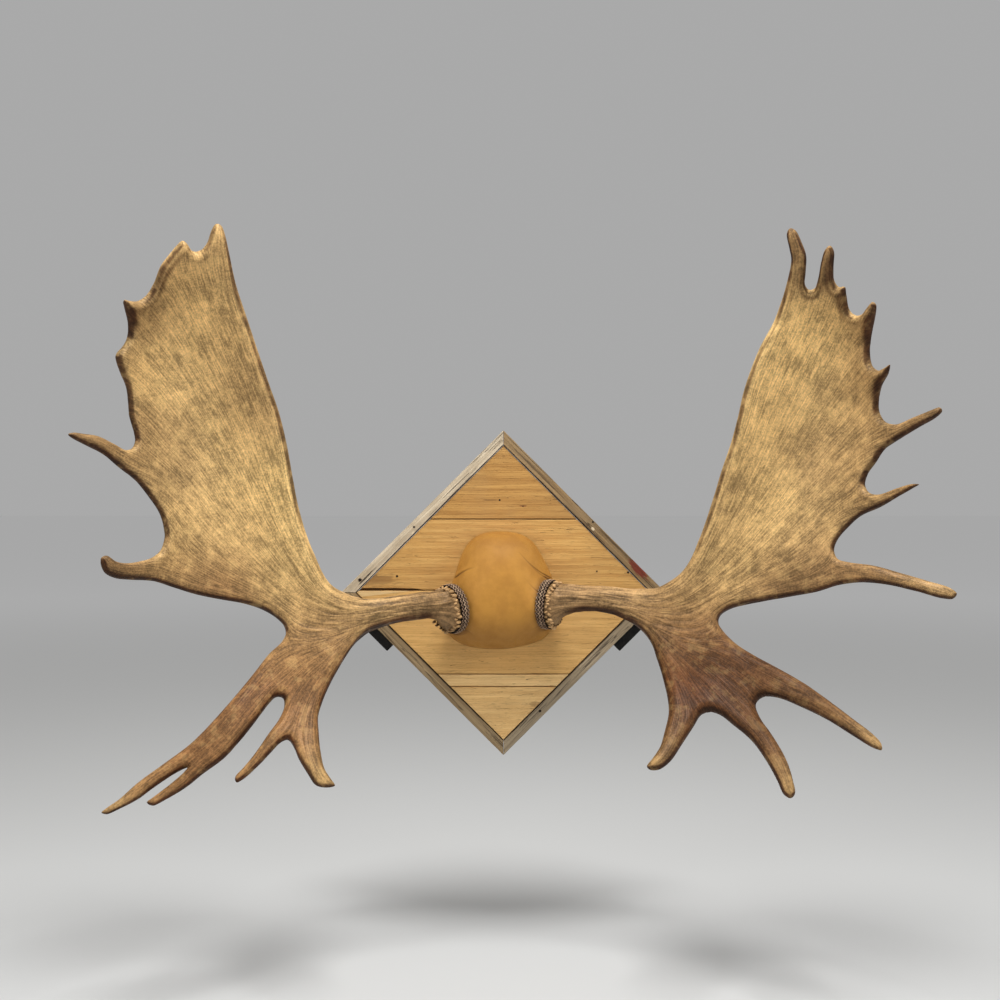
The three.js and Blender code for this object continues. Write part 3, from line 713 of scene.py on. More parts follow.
def new_material(name: str, roughness: float | None = None,
                 specular: float = 0.5) -> tuple[Material, Wiring, Node]:
    """Starts a material.

    Args:
        name: the material's name.
        roughness: the surface's roughness, where it is the same all over.
        specular: strength of its plain reflections.

    Returns:
        The material, its wiring and its Principled shader.
    """
    material = bpy.data.materials.new(name)
    material.use_nodes = True
    shader = material.node_tree.nodes["Principled BSDF"]
    shader.inputs["Specular IOR Level"].default_value = specular
    if roughness is not None:
        shader.inputs["Roughness"].default_value = roughness
    return material, Wiring(material.node_tree), shader


def dress(wiring: Wiring, shader: Node, colour: NodeSocket, height: NodeSocket, depth: float,
          strength: float = 1.0, roughness: NodeSocket | None = None) -> None:
    """Gives a shader its looks.

    Args:
        wiring: the material's wiring.
        shader: its Principled shader.
        colour: the colour all over.
        height: the small relief, from 0 to 1.
        depth: the relief's full depth in metres.
        strength: the relief's strength.
        roughness: the surface's roughness, where it varies.
    """
    bump = wiring.add("ShaderNodeBump", {"Strength": strength, "Distance": depth, "Height": height})
    wiring.feed(shader.inputs["Base Color"], colour)
    wiring.feed(shader.inputs["Normal"], bump.outputs["Normal"])
    if roughness is not None:
        wiring.feed(shader.inputs["Roughness"], roughness)


# ---- finishes


@dataclass(frozen=True)
class AntlerFinish:
    """Antler bone: tan palms, grey-brown beams, red-brown brows, with streaks that follow the growth.

    The vertices carry "flow" (place across and round the growth, and distance along it in millimetres),
    "tone" (how golden, red and dark the bone is) and "growth" (how the flow crowds, how deeply the bone is
    grooved, and its relief from -1 in the grooves to 1 on the ridges).
    """

    bone: Colour = tint(209, 171, 119)
    gold: Colour = tint(251, 211, 139)
    red: Colour = tint(128, 66, 24)
    dark: Colour = tint(66, 39, 18)
    groove: Colour = tint(52, 33, 20)
    worn: Colour = tint(234, 202, 152)

    def material(self, patterns: Patterns) -> Material:
        """Builds the material."""
        material, wiring, shader = new_material("antler_bone", specular=0.18)
        calc = wiring.math

        def streaks(width: float, length: float, seed: float) -> bpy_prop_collection:
            """Streaks of a width and length in millimetres."""
            return wiring.group(patterns.streaks, {"Flow": flow, "Crowd": crowd, "Width": width,
                                                   "Length": length, "Seed": seed})

        flow = wiring.carried("flow", "Vector")
        gold, red, dark = wiring.split(wiring.carried("tone", "Vector"))
        crowd, grooved, relief = wiring.split(wiring.carried("growth", "Vector"))
        place = wiring.place()
        stain = patterns.stain(wiring, place, 16.0, 330.0)
        patches, mottle = wiring.noise(place, 46.0, 3, 0.6), wiring.noise(place, 120.0, 2, 0.6)
        hair, strand, furrow = streaks(2.0, 34.0, 0.0), streaks(5.0, 90.0, 7.3), streaks(11.0, 240.0, 3.9)
        level = 1.0
        for value, low, high, swing in (
                (stain["Cloud"], 0.0, 1.0, 0.16), (patches, 0.36, 0.64, 0.10), (mottle, 0.36, 0.64, 0.07),
                (strand["Value"], 0.64, 0.36, 0.06), (hair["Value"], 0.62, 0.38, 0.22),
                (stain["Speck"], 1.0, 0.0, 0.17), (relief, -0.9, 0.9, 0.28)):
            level = calc("ADD", level, wiring.ramp(value, low, high, -swing, swing))
        level = calc("MAXIMUM", level, 0.5)
        colour = wiring.layered(self.bone, (gold, 1.0, self.gold), (red, 1.0, self.red),
                                (calc("POWER", dark, 0.75), 1.0, self.dark))
        colour = wiring.mix(1.0, colour, wiring.vector(level, level, level), "MULTIPLY")
        colour = wiring.layered(
            colour, (wiring.ramp(patches, 0.52, 0.66, 0.0, 0.25), gold, self.gold),
            (wiring.ramp(relief, 0.3, 0.95), 0.22, self.worn),
            (wiring.ramp(relief, -0.45, -1.0), 0.45, self.groove),
            (furrow["Line"], wiring.ramp(grooved, 0.0, 1.0, 0.10, 0.60), self.groove),
            (calc("MULTIPLY", strand["Line"], grooved), 0.20, self.groove))
        cut = calc("MULTIPLY", calc("ADD", furrow["Line"], calc("MULTIPLY", strand["Line"], 0.5)), grooved)
        height = calc("SUBTRACT", calc("SUBTRACT", 1.0, calc("MULTIPLY", hair["Value"], 0.5)), cut)
        dress(wiring, shader, colour, height, 0.0009, 0.8, wiring.ramp(hair["Value"], 0.3, 0.7, 0.44, 0.62))
        return material


@dataclass(frozen=True)
class LeatherFinish:
    """Smooth golden-brown leather with a fine pore grain, darkened by painted shade in its folds and other
    places.
    """

    hide: Colour = tint(200, 143, 61)
    shade: Colour = tint(168, 114, 46)
    # the colour of the painted shade that the cap's vertices carry
    crease: Colour = tint(92, 54, 22)

    def material(self, patterns: Patterns) -> Material:
        """Builds the material."""
        material, wiring, shader = new_material("cap_leather", specular=0.25)
        place = wiring.place()
        stain = patterns.stain(wiring, place, 34.0, 900.0)
        pores = wiring.add("ShaderNodeTexVoronoi", {"Vector": place, "Scale": 1100.0},
                           feature="DISTANCE_TO_EDGE").outputs["Distance"]
        colour = wiring.layered(self.hide, (stain["Cloud"], 0.5, self.shade),
                                (stain["Speck"], 0.10, self.shade),
                                (wiring.carried("crease"), 1.0, self.crease))
        height = wiring.math("ADD", wiring.ramp(pores, 0.0, 0.12),
                             wiring.math("MULTIPLY", stain["Speck"], 0.5))
        dress(wiring, shader, colour, height, 0.0002, 0.7, wiring.ramp(stain["Cloud"], 0.0, 1.0, 0.44, 0.56))
        return material


@dataclass(frozen=True)
class BraidFinish:
    """Dark plaited leather cords, dusty, with painted shade deep between them and pale crowns, partly worn
    and partly painted highlight.
    """

    hide: Colour = tint(94, 68, 50)
    # pale crowns: partly wear, partly painted highlight
    rubbed_highlight: Colour = tint(206, 178, 148)
    # painted shade deep between the cords and on the core
    shade: Colour = tint(20, 15, 12)

    def material(self, patterns: Patterns) -> Material:
        """Builds the material."""
        material, wiring, shader = new_material("braid_leather", specular=0.2)
        crown = wiring.carried("crown")
        speck = patterns.stain(wiring, wiring.place(), 160.0, 700.0)["Speck"]
        # Painted shade where the cords sink towards the core; pale crowns above, partly wear and partly
        # painted highlight.
        colour = wiring.mix(wiring.ramp(crown, 0.0, 0.8), self.shade, self.hide)
        worn = wiring.ramp(speck, 0.2, 1.0, 0.15, 0.9)
        colour = wiring.layered(colour, (wiring.ramp(crown, 0.6, 1.0), worn, self.rubbed_highlight))
        dress(wiring, shader, colour, speck, 0.0003, 1.0, wiring.ramp(speck, 0.0, 1.0, 0.42, 0.7))
        return material


@dataclass(frozen=True)
class WoodFinish:
    """Old sawn wood: year rings, fibres, pores and cracks along the grain.

    turn is the grain's angle about Y and shift moves the pattern, so that no two planks are alike. marks are
    stains, chips, scratches and, on the rails, painted shadow lines: [x, z, half length along the grain, half
    width] in mm, colour and strength.
    """

    name: str
    pale: Colour
    deep: Colour
    crack: Colour
    turn: float = 0.0
    shift: tuple[float, float, float] = (0.0, 0.0, 0.0)
    rings: float = 60.0
    cracks: float = 0.5
    weathering: float = 0.3
    grey: Colour = tint(146, 129, 102)
    marks: tuple[tuple[float, float, float, float, Colour, float], ...] = ()

    def material(self, patterns: Patterns) -> Material:
        """Builds the material."""
        material, wiring, shader = new_material(self.name, specular=0.25)
        calc, place = wiring.math, wiring.place()
        lined_up = wiring.add("ShaderNodeMapping", {"Vector": place, "Location": self.shift,
                                                    "Rotation": (0, self.turn, 0)}).outputs[0]
        grain = wiring.group(patterns.grain, {"Vector": lined_up, "Ring scale": self.rings,
                                              "Crack share": self.cracks})
        stain = patterns.stain(wiring, lined_up, 12.0, 700.0)
        colour = wiring.layered(
            self.pale, (grain["Rings"], 0.38, self.deep), (grain["Fibres"], 0.55, self.deep),
            (stain["Cloud"], self.weathering, self.grey), (grain["Pores"], 0.28, self.crack),
            (grain["Cracks"], 0.7, self.crack))
        ragged = calc("SUBTRACT", wiring.noise(wiring.stretched(lined_up, (60, 400, 400)), 1.0, 3), 0.5)
        for x, z, along, across, shade, strength in self.marks:
            spot = wiring.add("ShaderNodeMapping", {
                "Vector": place, "Location": (x * MM, 0, z * MM), "Rotation": (0, -self.turn, 0),
                "Scale": (along * MM, 1, across * MM)}, vector_type="TEXTURE").outputs[0]
            reach = wiring.add("ShaderNodeVectorMath", {0: spot}, operation="LENGTH").outputs["Value"]
            reach = calc("ADD", reach, calc("MULTIPLY", ragged, 1.6))
            colour = wiring.mix(wiring.ramp(reach, 1.1, 0.7, 0.0, strength), colour, shade)
        depth = calc("ADD", calc("MULTIPLY", grain["Fibres"], 0.4),
                     calc("ADD", grain["Cracks"], calc("MULTIPLY", grain["Pores"], 0.4)))
        dress(wiring, shader, colour, calc("SUBTRACT", 1.0, depth), 0.0006, 0.8,
              wiring.ramp(grain["Fibres"], 0.0, 1.0, 0.5, 0.72))
        return material


@dataclass(frozen=True)
class PlainFinish:
    """A single dull colour with faint unevenness, for rubber, nails and the like."""

    name: str
    colour: Colour
    dust: Colour
    roughness: float = 0.7

    def material(self, patterns: Patterns) -> Material:
        """Builds the material."""
        material, wiring, shader = new_material(self.name, self.roughness, 0.3)
        stain = patterns.stain(wiring, wiring.place(), 60.0, 1500.0)
        colour = wiring.layered(self.colour, (stain["Cloud"], 0.25, self.dust))
        dress(wiring, shader, colour, stain["Speck"], 0.0002)
        return material


# ---- antlers


@dataclass
class Foot:
    """Where a beam leaves its braided ring: its place, and its angles there in degrees.

    turn is towards the viewer and lean downwards, both as the beam goes out.
    """

    u: float
    v: float
    depth: float
    turn: float
    lean: float
    side: Side

    @property
    def centre(self) -> np.ndarray:
        """The ring's centre, in millimetres."""
        return on_sight_line(np.array([[self.u, self.v]]), self.depth)[0]

    @property
    def axis(self) -> np.ndarray:
        """The direction in which the beam leaves, one unit long."""
        turn, lean = math.radians(self.turn), math.radians(self.lean)
        return np.array([self.side.value * math.cos(turn) * math.cos(lean), -math.sin(turn),
                         -math.cos(turn) * math.sin(lean)])

    @property
    def placing(self) -> Matrix:
        """Carries a piece made round the Z axis, in metres, to the foot."""
        axis = Vector(self.axis).normalized()
        sideways = Vector((0, 0, 1)).cross(axis).normalized()
        turn = Matrix((sideways, axis.cross(sideways), axis)).transposed().to_4x4()
        return Matrix.Translation(Vector(self.centre * MM)) @ turn

    def along_and_off(self, points: np.ndarray) -> tuple[np.ndarray, np.ndarray]:
        """Gives how far points lie along the axis from the foot, and their offsets square to it."""
        along = (points - self.centre) @ self.axis
        return along, points - self.centre - along[:, None] * self.axis


@dataclass
class Antler:
    """One grown antler, from inside its braided ring to its tips.

    outline: pattern points [u, v] in order round the antler, stretch by stretch.
    form: [u, v, depth, half thickness] of the middle surface, which the rest is bent through.
    tone: [u, v, gold, red, dark, roughness of relief], blended between.
    """

    foot: Foot
    outline: dict[str, list[Pair]]
    form: list[tuple[float, float, float, float]]
    tone: list[tuple[float, float, float, float, float, float]]
    rim_step: float = 3.0
    spacing: float = 3.1
    fine_spacing: float = 2.3  # in the beam and the brow, which are grooved
    fine_reach: float = 290.0  # from the foot
    rim_rows: tuple[float, ...] = (0.3, 1.1, 2.5, 4.4)
    thinnest: float = 7.0
    thickest: float = 28.0
    start: float = 6.6  # along the axis, inside the ring
    tone_reach: float = 42.0
    stria_width: float = 7.5
    deepest_groove: float = 2.1
    burr_tone: tuple[float, float, float] = (0.0, 0.15, 0.52)  # gold, red and dark
    painted_underside_shade: tuple[float, float, float] = (0.0, 0.62, 1.0)  # painted shade: gold, red and dark added near the rim where the bone faces down or sideways
    burr_radius: float = 36.8
    flutes: int = 17

    @property
    def side(self) -> Side:
        """The side that the antler grows on."""
        return self.foot.side

    def build(self) -> Object:
        """Builds the antler's mesh, with its streak and colour attributes.

        Returns:
            The antler as one closed mesh.
        """
        corners = [corner for stretch in self.outline.values() for corner in stretch]
        filling = Filling.of(corners, self.rim_step, self.spacing, self.rim_rows, self.fine_spacing,
                             self._is_grooved)

        def both(values: np.ndarray) -> np.ndarray:
            """The same values on the front and on the back."""
            return filling.closed(values, values)

        film = filling.relax(np.zeros(filling.rim_count), 2.0)
        form = np.array(self.form, float)
        limit = np.clip(bent_plate(form[:, [0, 1, 3]])(filling.points), self.thinnest, self.thickest)
        middle, normal = self._middle(filling.points, bent_plate(form[:, :3]))
        round_rim = limit**2 - (limit - np.minimum(limit, filling.inset)) ** 2
        half = np.sqrt((np.maximum(film, 1e-6) ** -3 + np.maximum(round_rim, 1e-6) ** -3) ** (-1 / 3))
        half[:filling.rim_count] = 0
        offset = normal * half[:, None]
        vertices = filling.closed(middle + offset, middle - offset)
        faces = filling.closed_faces()
        outward = vertex_normals(vertices, faces)
        flow, crowd = (both(values) for values in self._flow(filling, film))
        from_foot = both(np.linalg.norm(filling.points - [self.foot.u, self.foot.v], axis=1))
        streaks = np.column_stack([flow, filling.closed(half / limit, -half / limit), from_foot])
        tone = both(self._tone(filling.points))
        relief, grooved = self._relief(streaks, crowd), tone[:, 3]
        slim = np.minimum(both(limit) / 20, 1)
        vertices = vertices + outward * (relief * grooved * slim * self.deepest_groove)[:, None]
        antler = new_object(f"{self.side.word}_antler", self._flare_foot(vertices), faces)
        burr = 0.85 * ramp(from_foot, 36, 14)[:, None]
        colours = tone[:, :3] + burr * (self.burr_tone - tone[:, :3])
        # Painted shade: darker, redder bone near the rim where it faces down, and along the rim where it
        # faces sideways, kept off the burr.
        beyond = ramp(from_foot, 22, 60)
        painted_edge_shade = np.maximum(ramp(outward[:, 2], -0.25, -0.80) * both(ramp(filling.inset, 15, 6)),
                            0.6 * ramp(outward[:, 2], 0.4, 0.0) * both(ramp(filling.inset, 5, 1.5)))
        colours += (painted_edge_shade * beyond)[:, None] * self.painted_underside_shade
        depth = 0.4 + 0.6 * beyond
        shown = relief * np.clip(0.2 + grooved, 0, 1) * depth
        store(antler, "flow", streaks)
        store(antler, "tone", np.clip(colours, 0, 1))
        store(antler, "growth", np.column_stack([crowd, grooved * depth, shown]))
        self._cut_foot(antler)
        return antler

    @staticmethod
    def _middle(places: np.ndarray, depth_at: PointRule) -> tuple[np.ndarray, np.ndarray]:
        """Gives the middle surface's points at pattern points, and the surface's direction at each."""
        middle, aside, above = (on_sight_line(places + step, depth_at(places + step))
                                for step in ([0.0, 0.0], [1.0, 0.0], [0.0, 1.0]))
        normal = np.cross(aside - middle, above - middle)
        return middle, normal / np.linalg.norm(normal, axis=1)[:, None]

    def _is_grooved(self, places: np.ndarray) -> np.ndarray:
        """Whether pattern points lie in the deeply grooved beam, fork or brow."""
        from_foot = np.linalg.norm(places - [self.foot.u, self.foot.v], axis=1)
        return (from_foot < self.fine_reach) | (places[:, 1] < -25)

    def _flow(self, filling: Filling, film: np.ndarray) -> tuple[np.ndarray, np.ndarray]:
        """Finds how the bone's streaks run from the foot to the tips.

        Args:
            filling: the filled outline.
            film: the squared height of the round swelling over it.

        Returns:
            Each point's place across the growth, from 0 to 1, and how closely the streaks crowd there.
        """
        rim, count = filling.points[:filling.rim_count], filling.rim_count
        ahead, behind = np.roll(rim, -1, 0) - rim, rim - np.roll(rim, 1, 0)
        length = np.linalg.norm(ahead, axis=1)
        turn = np.arctan2(behind[:, 0] * ahead[:, 1] - behind[:, 1] * ahead[:, 0], (behind * ahead).sum(1))
        stretches = [name for name, points in self.outline.items() for _ in points]
        open_edge = np.array(["Tines" in stretches[owner] for owner in filling.owners])
        steep = filling.steepness(film)[:count]
        broad = ramp(steep, 60, 150) * open_edge
        foot = np.array([stretches[owner] in ("beamTop", "beamUnderside") for owner in filling.owners])
        last = len(stretches) - 1
        at_cut = filling.owners == (last if self._runs_forward(filling) else 0)
        leaving = np.where(foot | at_cut, 0, np.maximum(turn, 0) * 11 + broad * length * 0.8)
        leaving /= leaving.sum()
        entering = np.where(at_cut, length, 0)
        entering /= entering.sum()
        across = np.cumsum(leaving - entering)
        across -= across[np.argmax(at_cut)]
        flow = filling.relax(across, 0.0)
        return flow, filling.steepness(flow)

    @staticmethod
    def _runs_forward(filling: Filling) -> bool:
        """Whether the rim keeps the order in which the outline was drawn."""
        steps = np.diff(filling.owners)
        return (steps > 0).sum() > (steps < 0).sum()

    def _relief(self, streaks: np.ndarray, crowding: np.ndarray) -> np.ndarray:
        """Long ridges and grooves, about stria_width apart wherever they run.

        Args:
            streaks: place across, place round the edge and distance from the foot, for each vertex.
            crowding: how closely the streaks crowd at each vertex.

        Returns:
            The relief at each vertex, from -1 in the grooves to 1 on the ridges.
        """
        total, weights = np.zeros(len(streaks)), np.zeros(len(streaks))
        for octave in range(5):
            pitch = 9.0 * 2**octave
            width = 1 / np.maximum(pitch * crowding, 1e-6)
            weight = np.exp(-(np.log(width / self.stria_width) ** 2) / 0.5)
            places = streaks * [pitch, min(pitch, 20) * 0.4, 1 / 95]
            places += [0, 7.7 * octave, 3.1 * self.side.value]
            drift = perlin(places * [0.3, 0.5, 3] + 11)
            value = perlin(places + np.column_stack([drift, 0 * drift, 0 * drift]))
            total += weight * (1.5 * value - 0.7 * np.exp(-((value + 0.12) / 0.15) ** 2))
            weights += weight
        return np.clip(total / np.maximum(weights, 1e-9), -1, 1)

    def _tone(self, places: np.ndarray) -> np.ndarray:
        """Blends the tone table over pattern points."""
        table = np.array(self.tone, float)
        square = ((places[:, None] - table[None, :, :2]) ** 2).sum(2)
        near = np.exp(-(square - square.min(1)[:, None]) / (2 * self.tone_reach**2))
        return near @ table[:, 2:] / near.sum(1)[:, None]

    def _flare_foot(self, vertices: np.ndarray) -> np.ndarray:
        """Widens the beam into its fluted burr, beside the ring."""
        along, off = self.foot.along_and_off(vertices)
        radius = np.linalg.norm(off, axis=1)
        near = (along > 0) & (along < 60) & (radius < 60)
        angle = np.arctan2(off[:, 2], -off[:, 1])
        lumps = perlin(np.column_stack([np.cos(angle) * 2.4, np.sin(angle) * 2.4, along / 30]))
        flutes = np.cos(self.flutes * angle + 3 * lumps)
        burr = self.burr_radius + ramp(along, 8.5, 11) * (2.6 * lumps + 1.2 * flutes)
        wanted = np.maximum(burr - radius, 0) * np.exp(-np.maximum(along - 14.5, 0) / 7.5)
        wanted += 1.1 * flutes * np.exp(-np.maximum(along - 12, 0) / 22) * ramp(along, 8, 14)
        scale = np.where(near, 1 + wanted / np.maximum(radius, 5), 1)
        return vertices + off * (scale - 1)[:, None]

    def _cut_foot(self, antler: Object) -> None:
        """Cuts the beam off square, inside its ring."""
        axis = Vector(self.foot.axis)
        work = bmesh.new()
        work.from_mesh(antler.data)
        place = Vector(self.foot.centre * MM) + axis * self.start * MM
        parts = [*work.verts, *work.edges, *work.faces]
        cut = bmesh.ops.bisect_plane(work, geom=parts, plane_co=place, plane_no=axis, clear_inner=True)
        edges = [part for part in cut["geom_cut"] if isinstance(part, bmesh.types.BMEdge)]
        bmesh.ops.holes_fill(work, edges=edges)
        work.to_mesh(antler.data)
        work.free()
        antler.data.shade_smooth()


LEFT_ANTLER = Antler(
    foot=Foot(-83, -10, 105, 36, 8, Side.LEFT),
    outline={
        "beamTop": [
            (-52, 19), (-80, 20), (-100, 20), (-120, 18.5), (-146, 15), (-172, 11.5), (-202, 7), (-223, 6),
            (-240, 9), (-256, 16), (-271, 24)],
        "innerEdge": [
            (-285, 39), (-303, 77), (-318, 116), (-329, 155), (-338, 200), (-347, 250), (-360, 304),
            (-376, 350), (-393, 400), (-411, 454), (-429, 510), (-440, 562), (-447, 592)],
        "topTines": [
            (-452, 603), (-460, 606), (-467, 596), (-474, 576), (-481, 566), (-490, 561), (-499, 563),
            (-506, 573), (-513, 579), (-521, 572), (-535, 555), (-548, 537), (-559, 509), (-570, 491),
            (-583, 482), (-597, 482), (-607, 484), (-605, 470), (-600, 447), (-601, 424), (-608, 410),
            (-616, 401), (-619, 393), (-613, 370), (-603, 345), (-600, 320), (-598, 298), (-591, 274)],
        "sideTines": [
            (-589, 258), (-594, 247), (-606, 244), (-625, 254), (-649, 266), (-672, 270), (-690, 272),
            (-697, 269), (-690, 263), (-665, 250), (-640, 237), (-613, 215), (-587, 194), (-566, 168),
            (-550, 143), (-543, 120), (-542, 102), (-548, 84), (-562, 72), (-582, 66), (-604, 63),
            (-622, 66), (-636, 75), (-643, 72), (-643, 60), (-636, 46), (-620, 38.5), (-596, 36)],
        "palmUnderside": [
            (-560, 34), (-528, 24), (-490, 12.5), (-450, 4.5), (-415, -2), (-385, -12), (-362, -26),
            (-351, -38)],
        "browTop": [
            (-349, -50), (-354, -62), (-376, -83), (-401, -115), (-431, -151), (-465, -190), (-500, -225),
            (-540, -255), (-584, -287), (-616, -315), (-636, -329)],
        "browTines": [
            (-644, -336), (-636, -339), (-614, -330), (-584, -314), (-550, -289), (-520, -270), (-506, -264),
            (-512, -272), (-535, -292), (-560, -311), (-571, -320), (-562, -325), (-540, -315), (-510, -297),
            (-480, -273), (-449, -250), (-420, -219), (-396, -189), (-375, -161), (-364, -151), (-354, -152),
            (-351, -165), (-359, -186), (-377, -211), (-398, -242), (-416, -264), (-430, -280), (-428, -288),
            (-415, -281), (-392, -260), (-372, -239), (-356, -223), (-345, -219), (-337, -229), (-328, -250),
            (-313, -275), (-302, -291), (-286, -296), (-270, -293), (-276, -284), (-287, -267), (-293, -240),
            (-296, -210), (-297, -184)],
        "browUnderside": [(-290, -159), (-278, -131), (-262, -102), (-248, -80), (-234, -62), (-217, -48)],
        "beamUnderside": [
            (-200, -41), (-172, -33), (-145, -28.5), (-122, -25.5), (-100, -26), (-80, -28), (-52, -30)],
    },
    form=[
        (-52, -6, 82, 26), (-83, -5, 107, 27), (-120, -3, 130, 25), (-160, -8, 149, 23),
        (-205, -16, 165, 24), (-255, -18, 179, 24), (-300, -22, 192, 22), (-340, 0, 196, 18),
        (-271, 30, 190, 22), (-311, 95, 206, 15), (-333, 175, 216, 12), (-351, 265, 228, 10),
        (-379, 350, 243, 9), (-411, 450, 264, 9), (-443, 560, 292, 13), (-459, 604, 305, 13),
        (-390, 60, 200, 13), (-410, 150, 204, 9), (-440, 260, 212, 8), (-475, 370, 232, 8),
        (-505, 480, 264, 8), (-500, 60, 240, 9), (-535, 130, 262, 8), (-585, 262, 292, 8),
        (-597, 340, 303, 8), (-598, 430, 314, 8), (-560, 500, 308, 9), (-513, 577, 324, 13),
        (-606, 481, 346, 12), (-618, 394, 334, 10), (-696, 270, 396, 13), (-642, 70, 372, 13),
        (-456, 10, 222, 11), (-560, 42, 290, 10), (-300, -80, 212, 20), (-350, -120, 240, 14),
        (-290, -170, 256, 14), (-350, -170, 268, 11), (-420, -175, 292, 13), (-500, -245, 332, 13),
        (-642, -337, 386, 13), (-570, -321, 368, 13), (-429, -285, 346, 12), (-283, -292, 332, 13)],
    tone=[
        (-100, 0, 0.05, 0.25, 0.4, 1.0), (-150, -5, 0.25, 0.3, 0.32, 1.0), (-220, -15, 0.5, 0.2, 0.15, 0.8),
        (-285, -20, 0.5, 0.34, 0.37, 0.5), (-330, 10, 0.75, 0.26, 0.15, 0.3),
        (-300, 70, 0.95, 0.05, 0.0, 0.3), (-370, 60, 0.8, 0.14, 0.15, 0.3),
        (-335, 180, 0.95, 0.05, 0.02, 0.3), (-440, 110, 0.65, 0.08, 0.18, 0.2),
        (-540, 80, 0.8, 0.1, 0.1, 0.25), (-440, 250, 0.65, 0.02, 0.14, 0.2),
        (-545, 230, 0.5, 0.08, 0.36, 0.2), (-380, 330, 0.55, 0.2, 0.22, 0.25),
        (-490, 370, 0.6, 0.05, 0.16, 0.15), (-575, 390, 0.8, 0.05, 0.08, 0.2),
        (-430, 480, 0.65, 0.2, 0.1, 0.2), (-510, 480, 0.75, 0.1, 0.04, 0.15),
        (-560, 510, 0.75, 0.2, 0.12, 0.2), (-458, 595, 0.6, 0.3, 0.15, 0.2),
        (-510, 570, 0.6, 0.25, 0.12, 0.2), (-602, 480, 0.1, 0.25, 0.7, 0.2), (-618, 394, 0.5, 0.2, 0.4, 0.2),
        (-625, 245, 0.5, 0.35, 0.3, 0.5), (-692, 269, 0.1, 0.2, 0.65, 0.2), (-600, 50, 0.3, 0.4, 0.6, 0.3),
        (-640, 68, 0.1, 0.2, 0.65, 0.2), (-440, 15, 0.5, 0.65, 0.44, 0.3), (-520, 30, 0.5, 0.55, 0.4, 0.3),
        (-270, -70, 0.45, 0.6, 0.34, 0.4), (-340, -90, 0.6, 0.6, 0.1, 0.3),
        (-300, -150, 0.5, 0.75, 0.34, 0.3), (-400, -160, 0.45, 0.8, 0.34, 0.3),
        (-480, -240, 0.4, 0.75, 0.32, 0.3), (-570, -300, 0.5, 0.65, 0.25, 0.3),
        (-640, -336, 0.5, 0.25, 0.3, 0.2), (-420, -275, 0.5, 0.6, 0.25, 0.25),
        (-375, -235, 0.5, 0.65, 0.25, 0.3), (-310, -230, 0.4, 0.65, 0.4, 0.3),
        (-285, -290, 0.65, 0.15, 0.15, 0.2)],
)

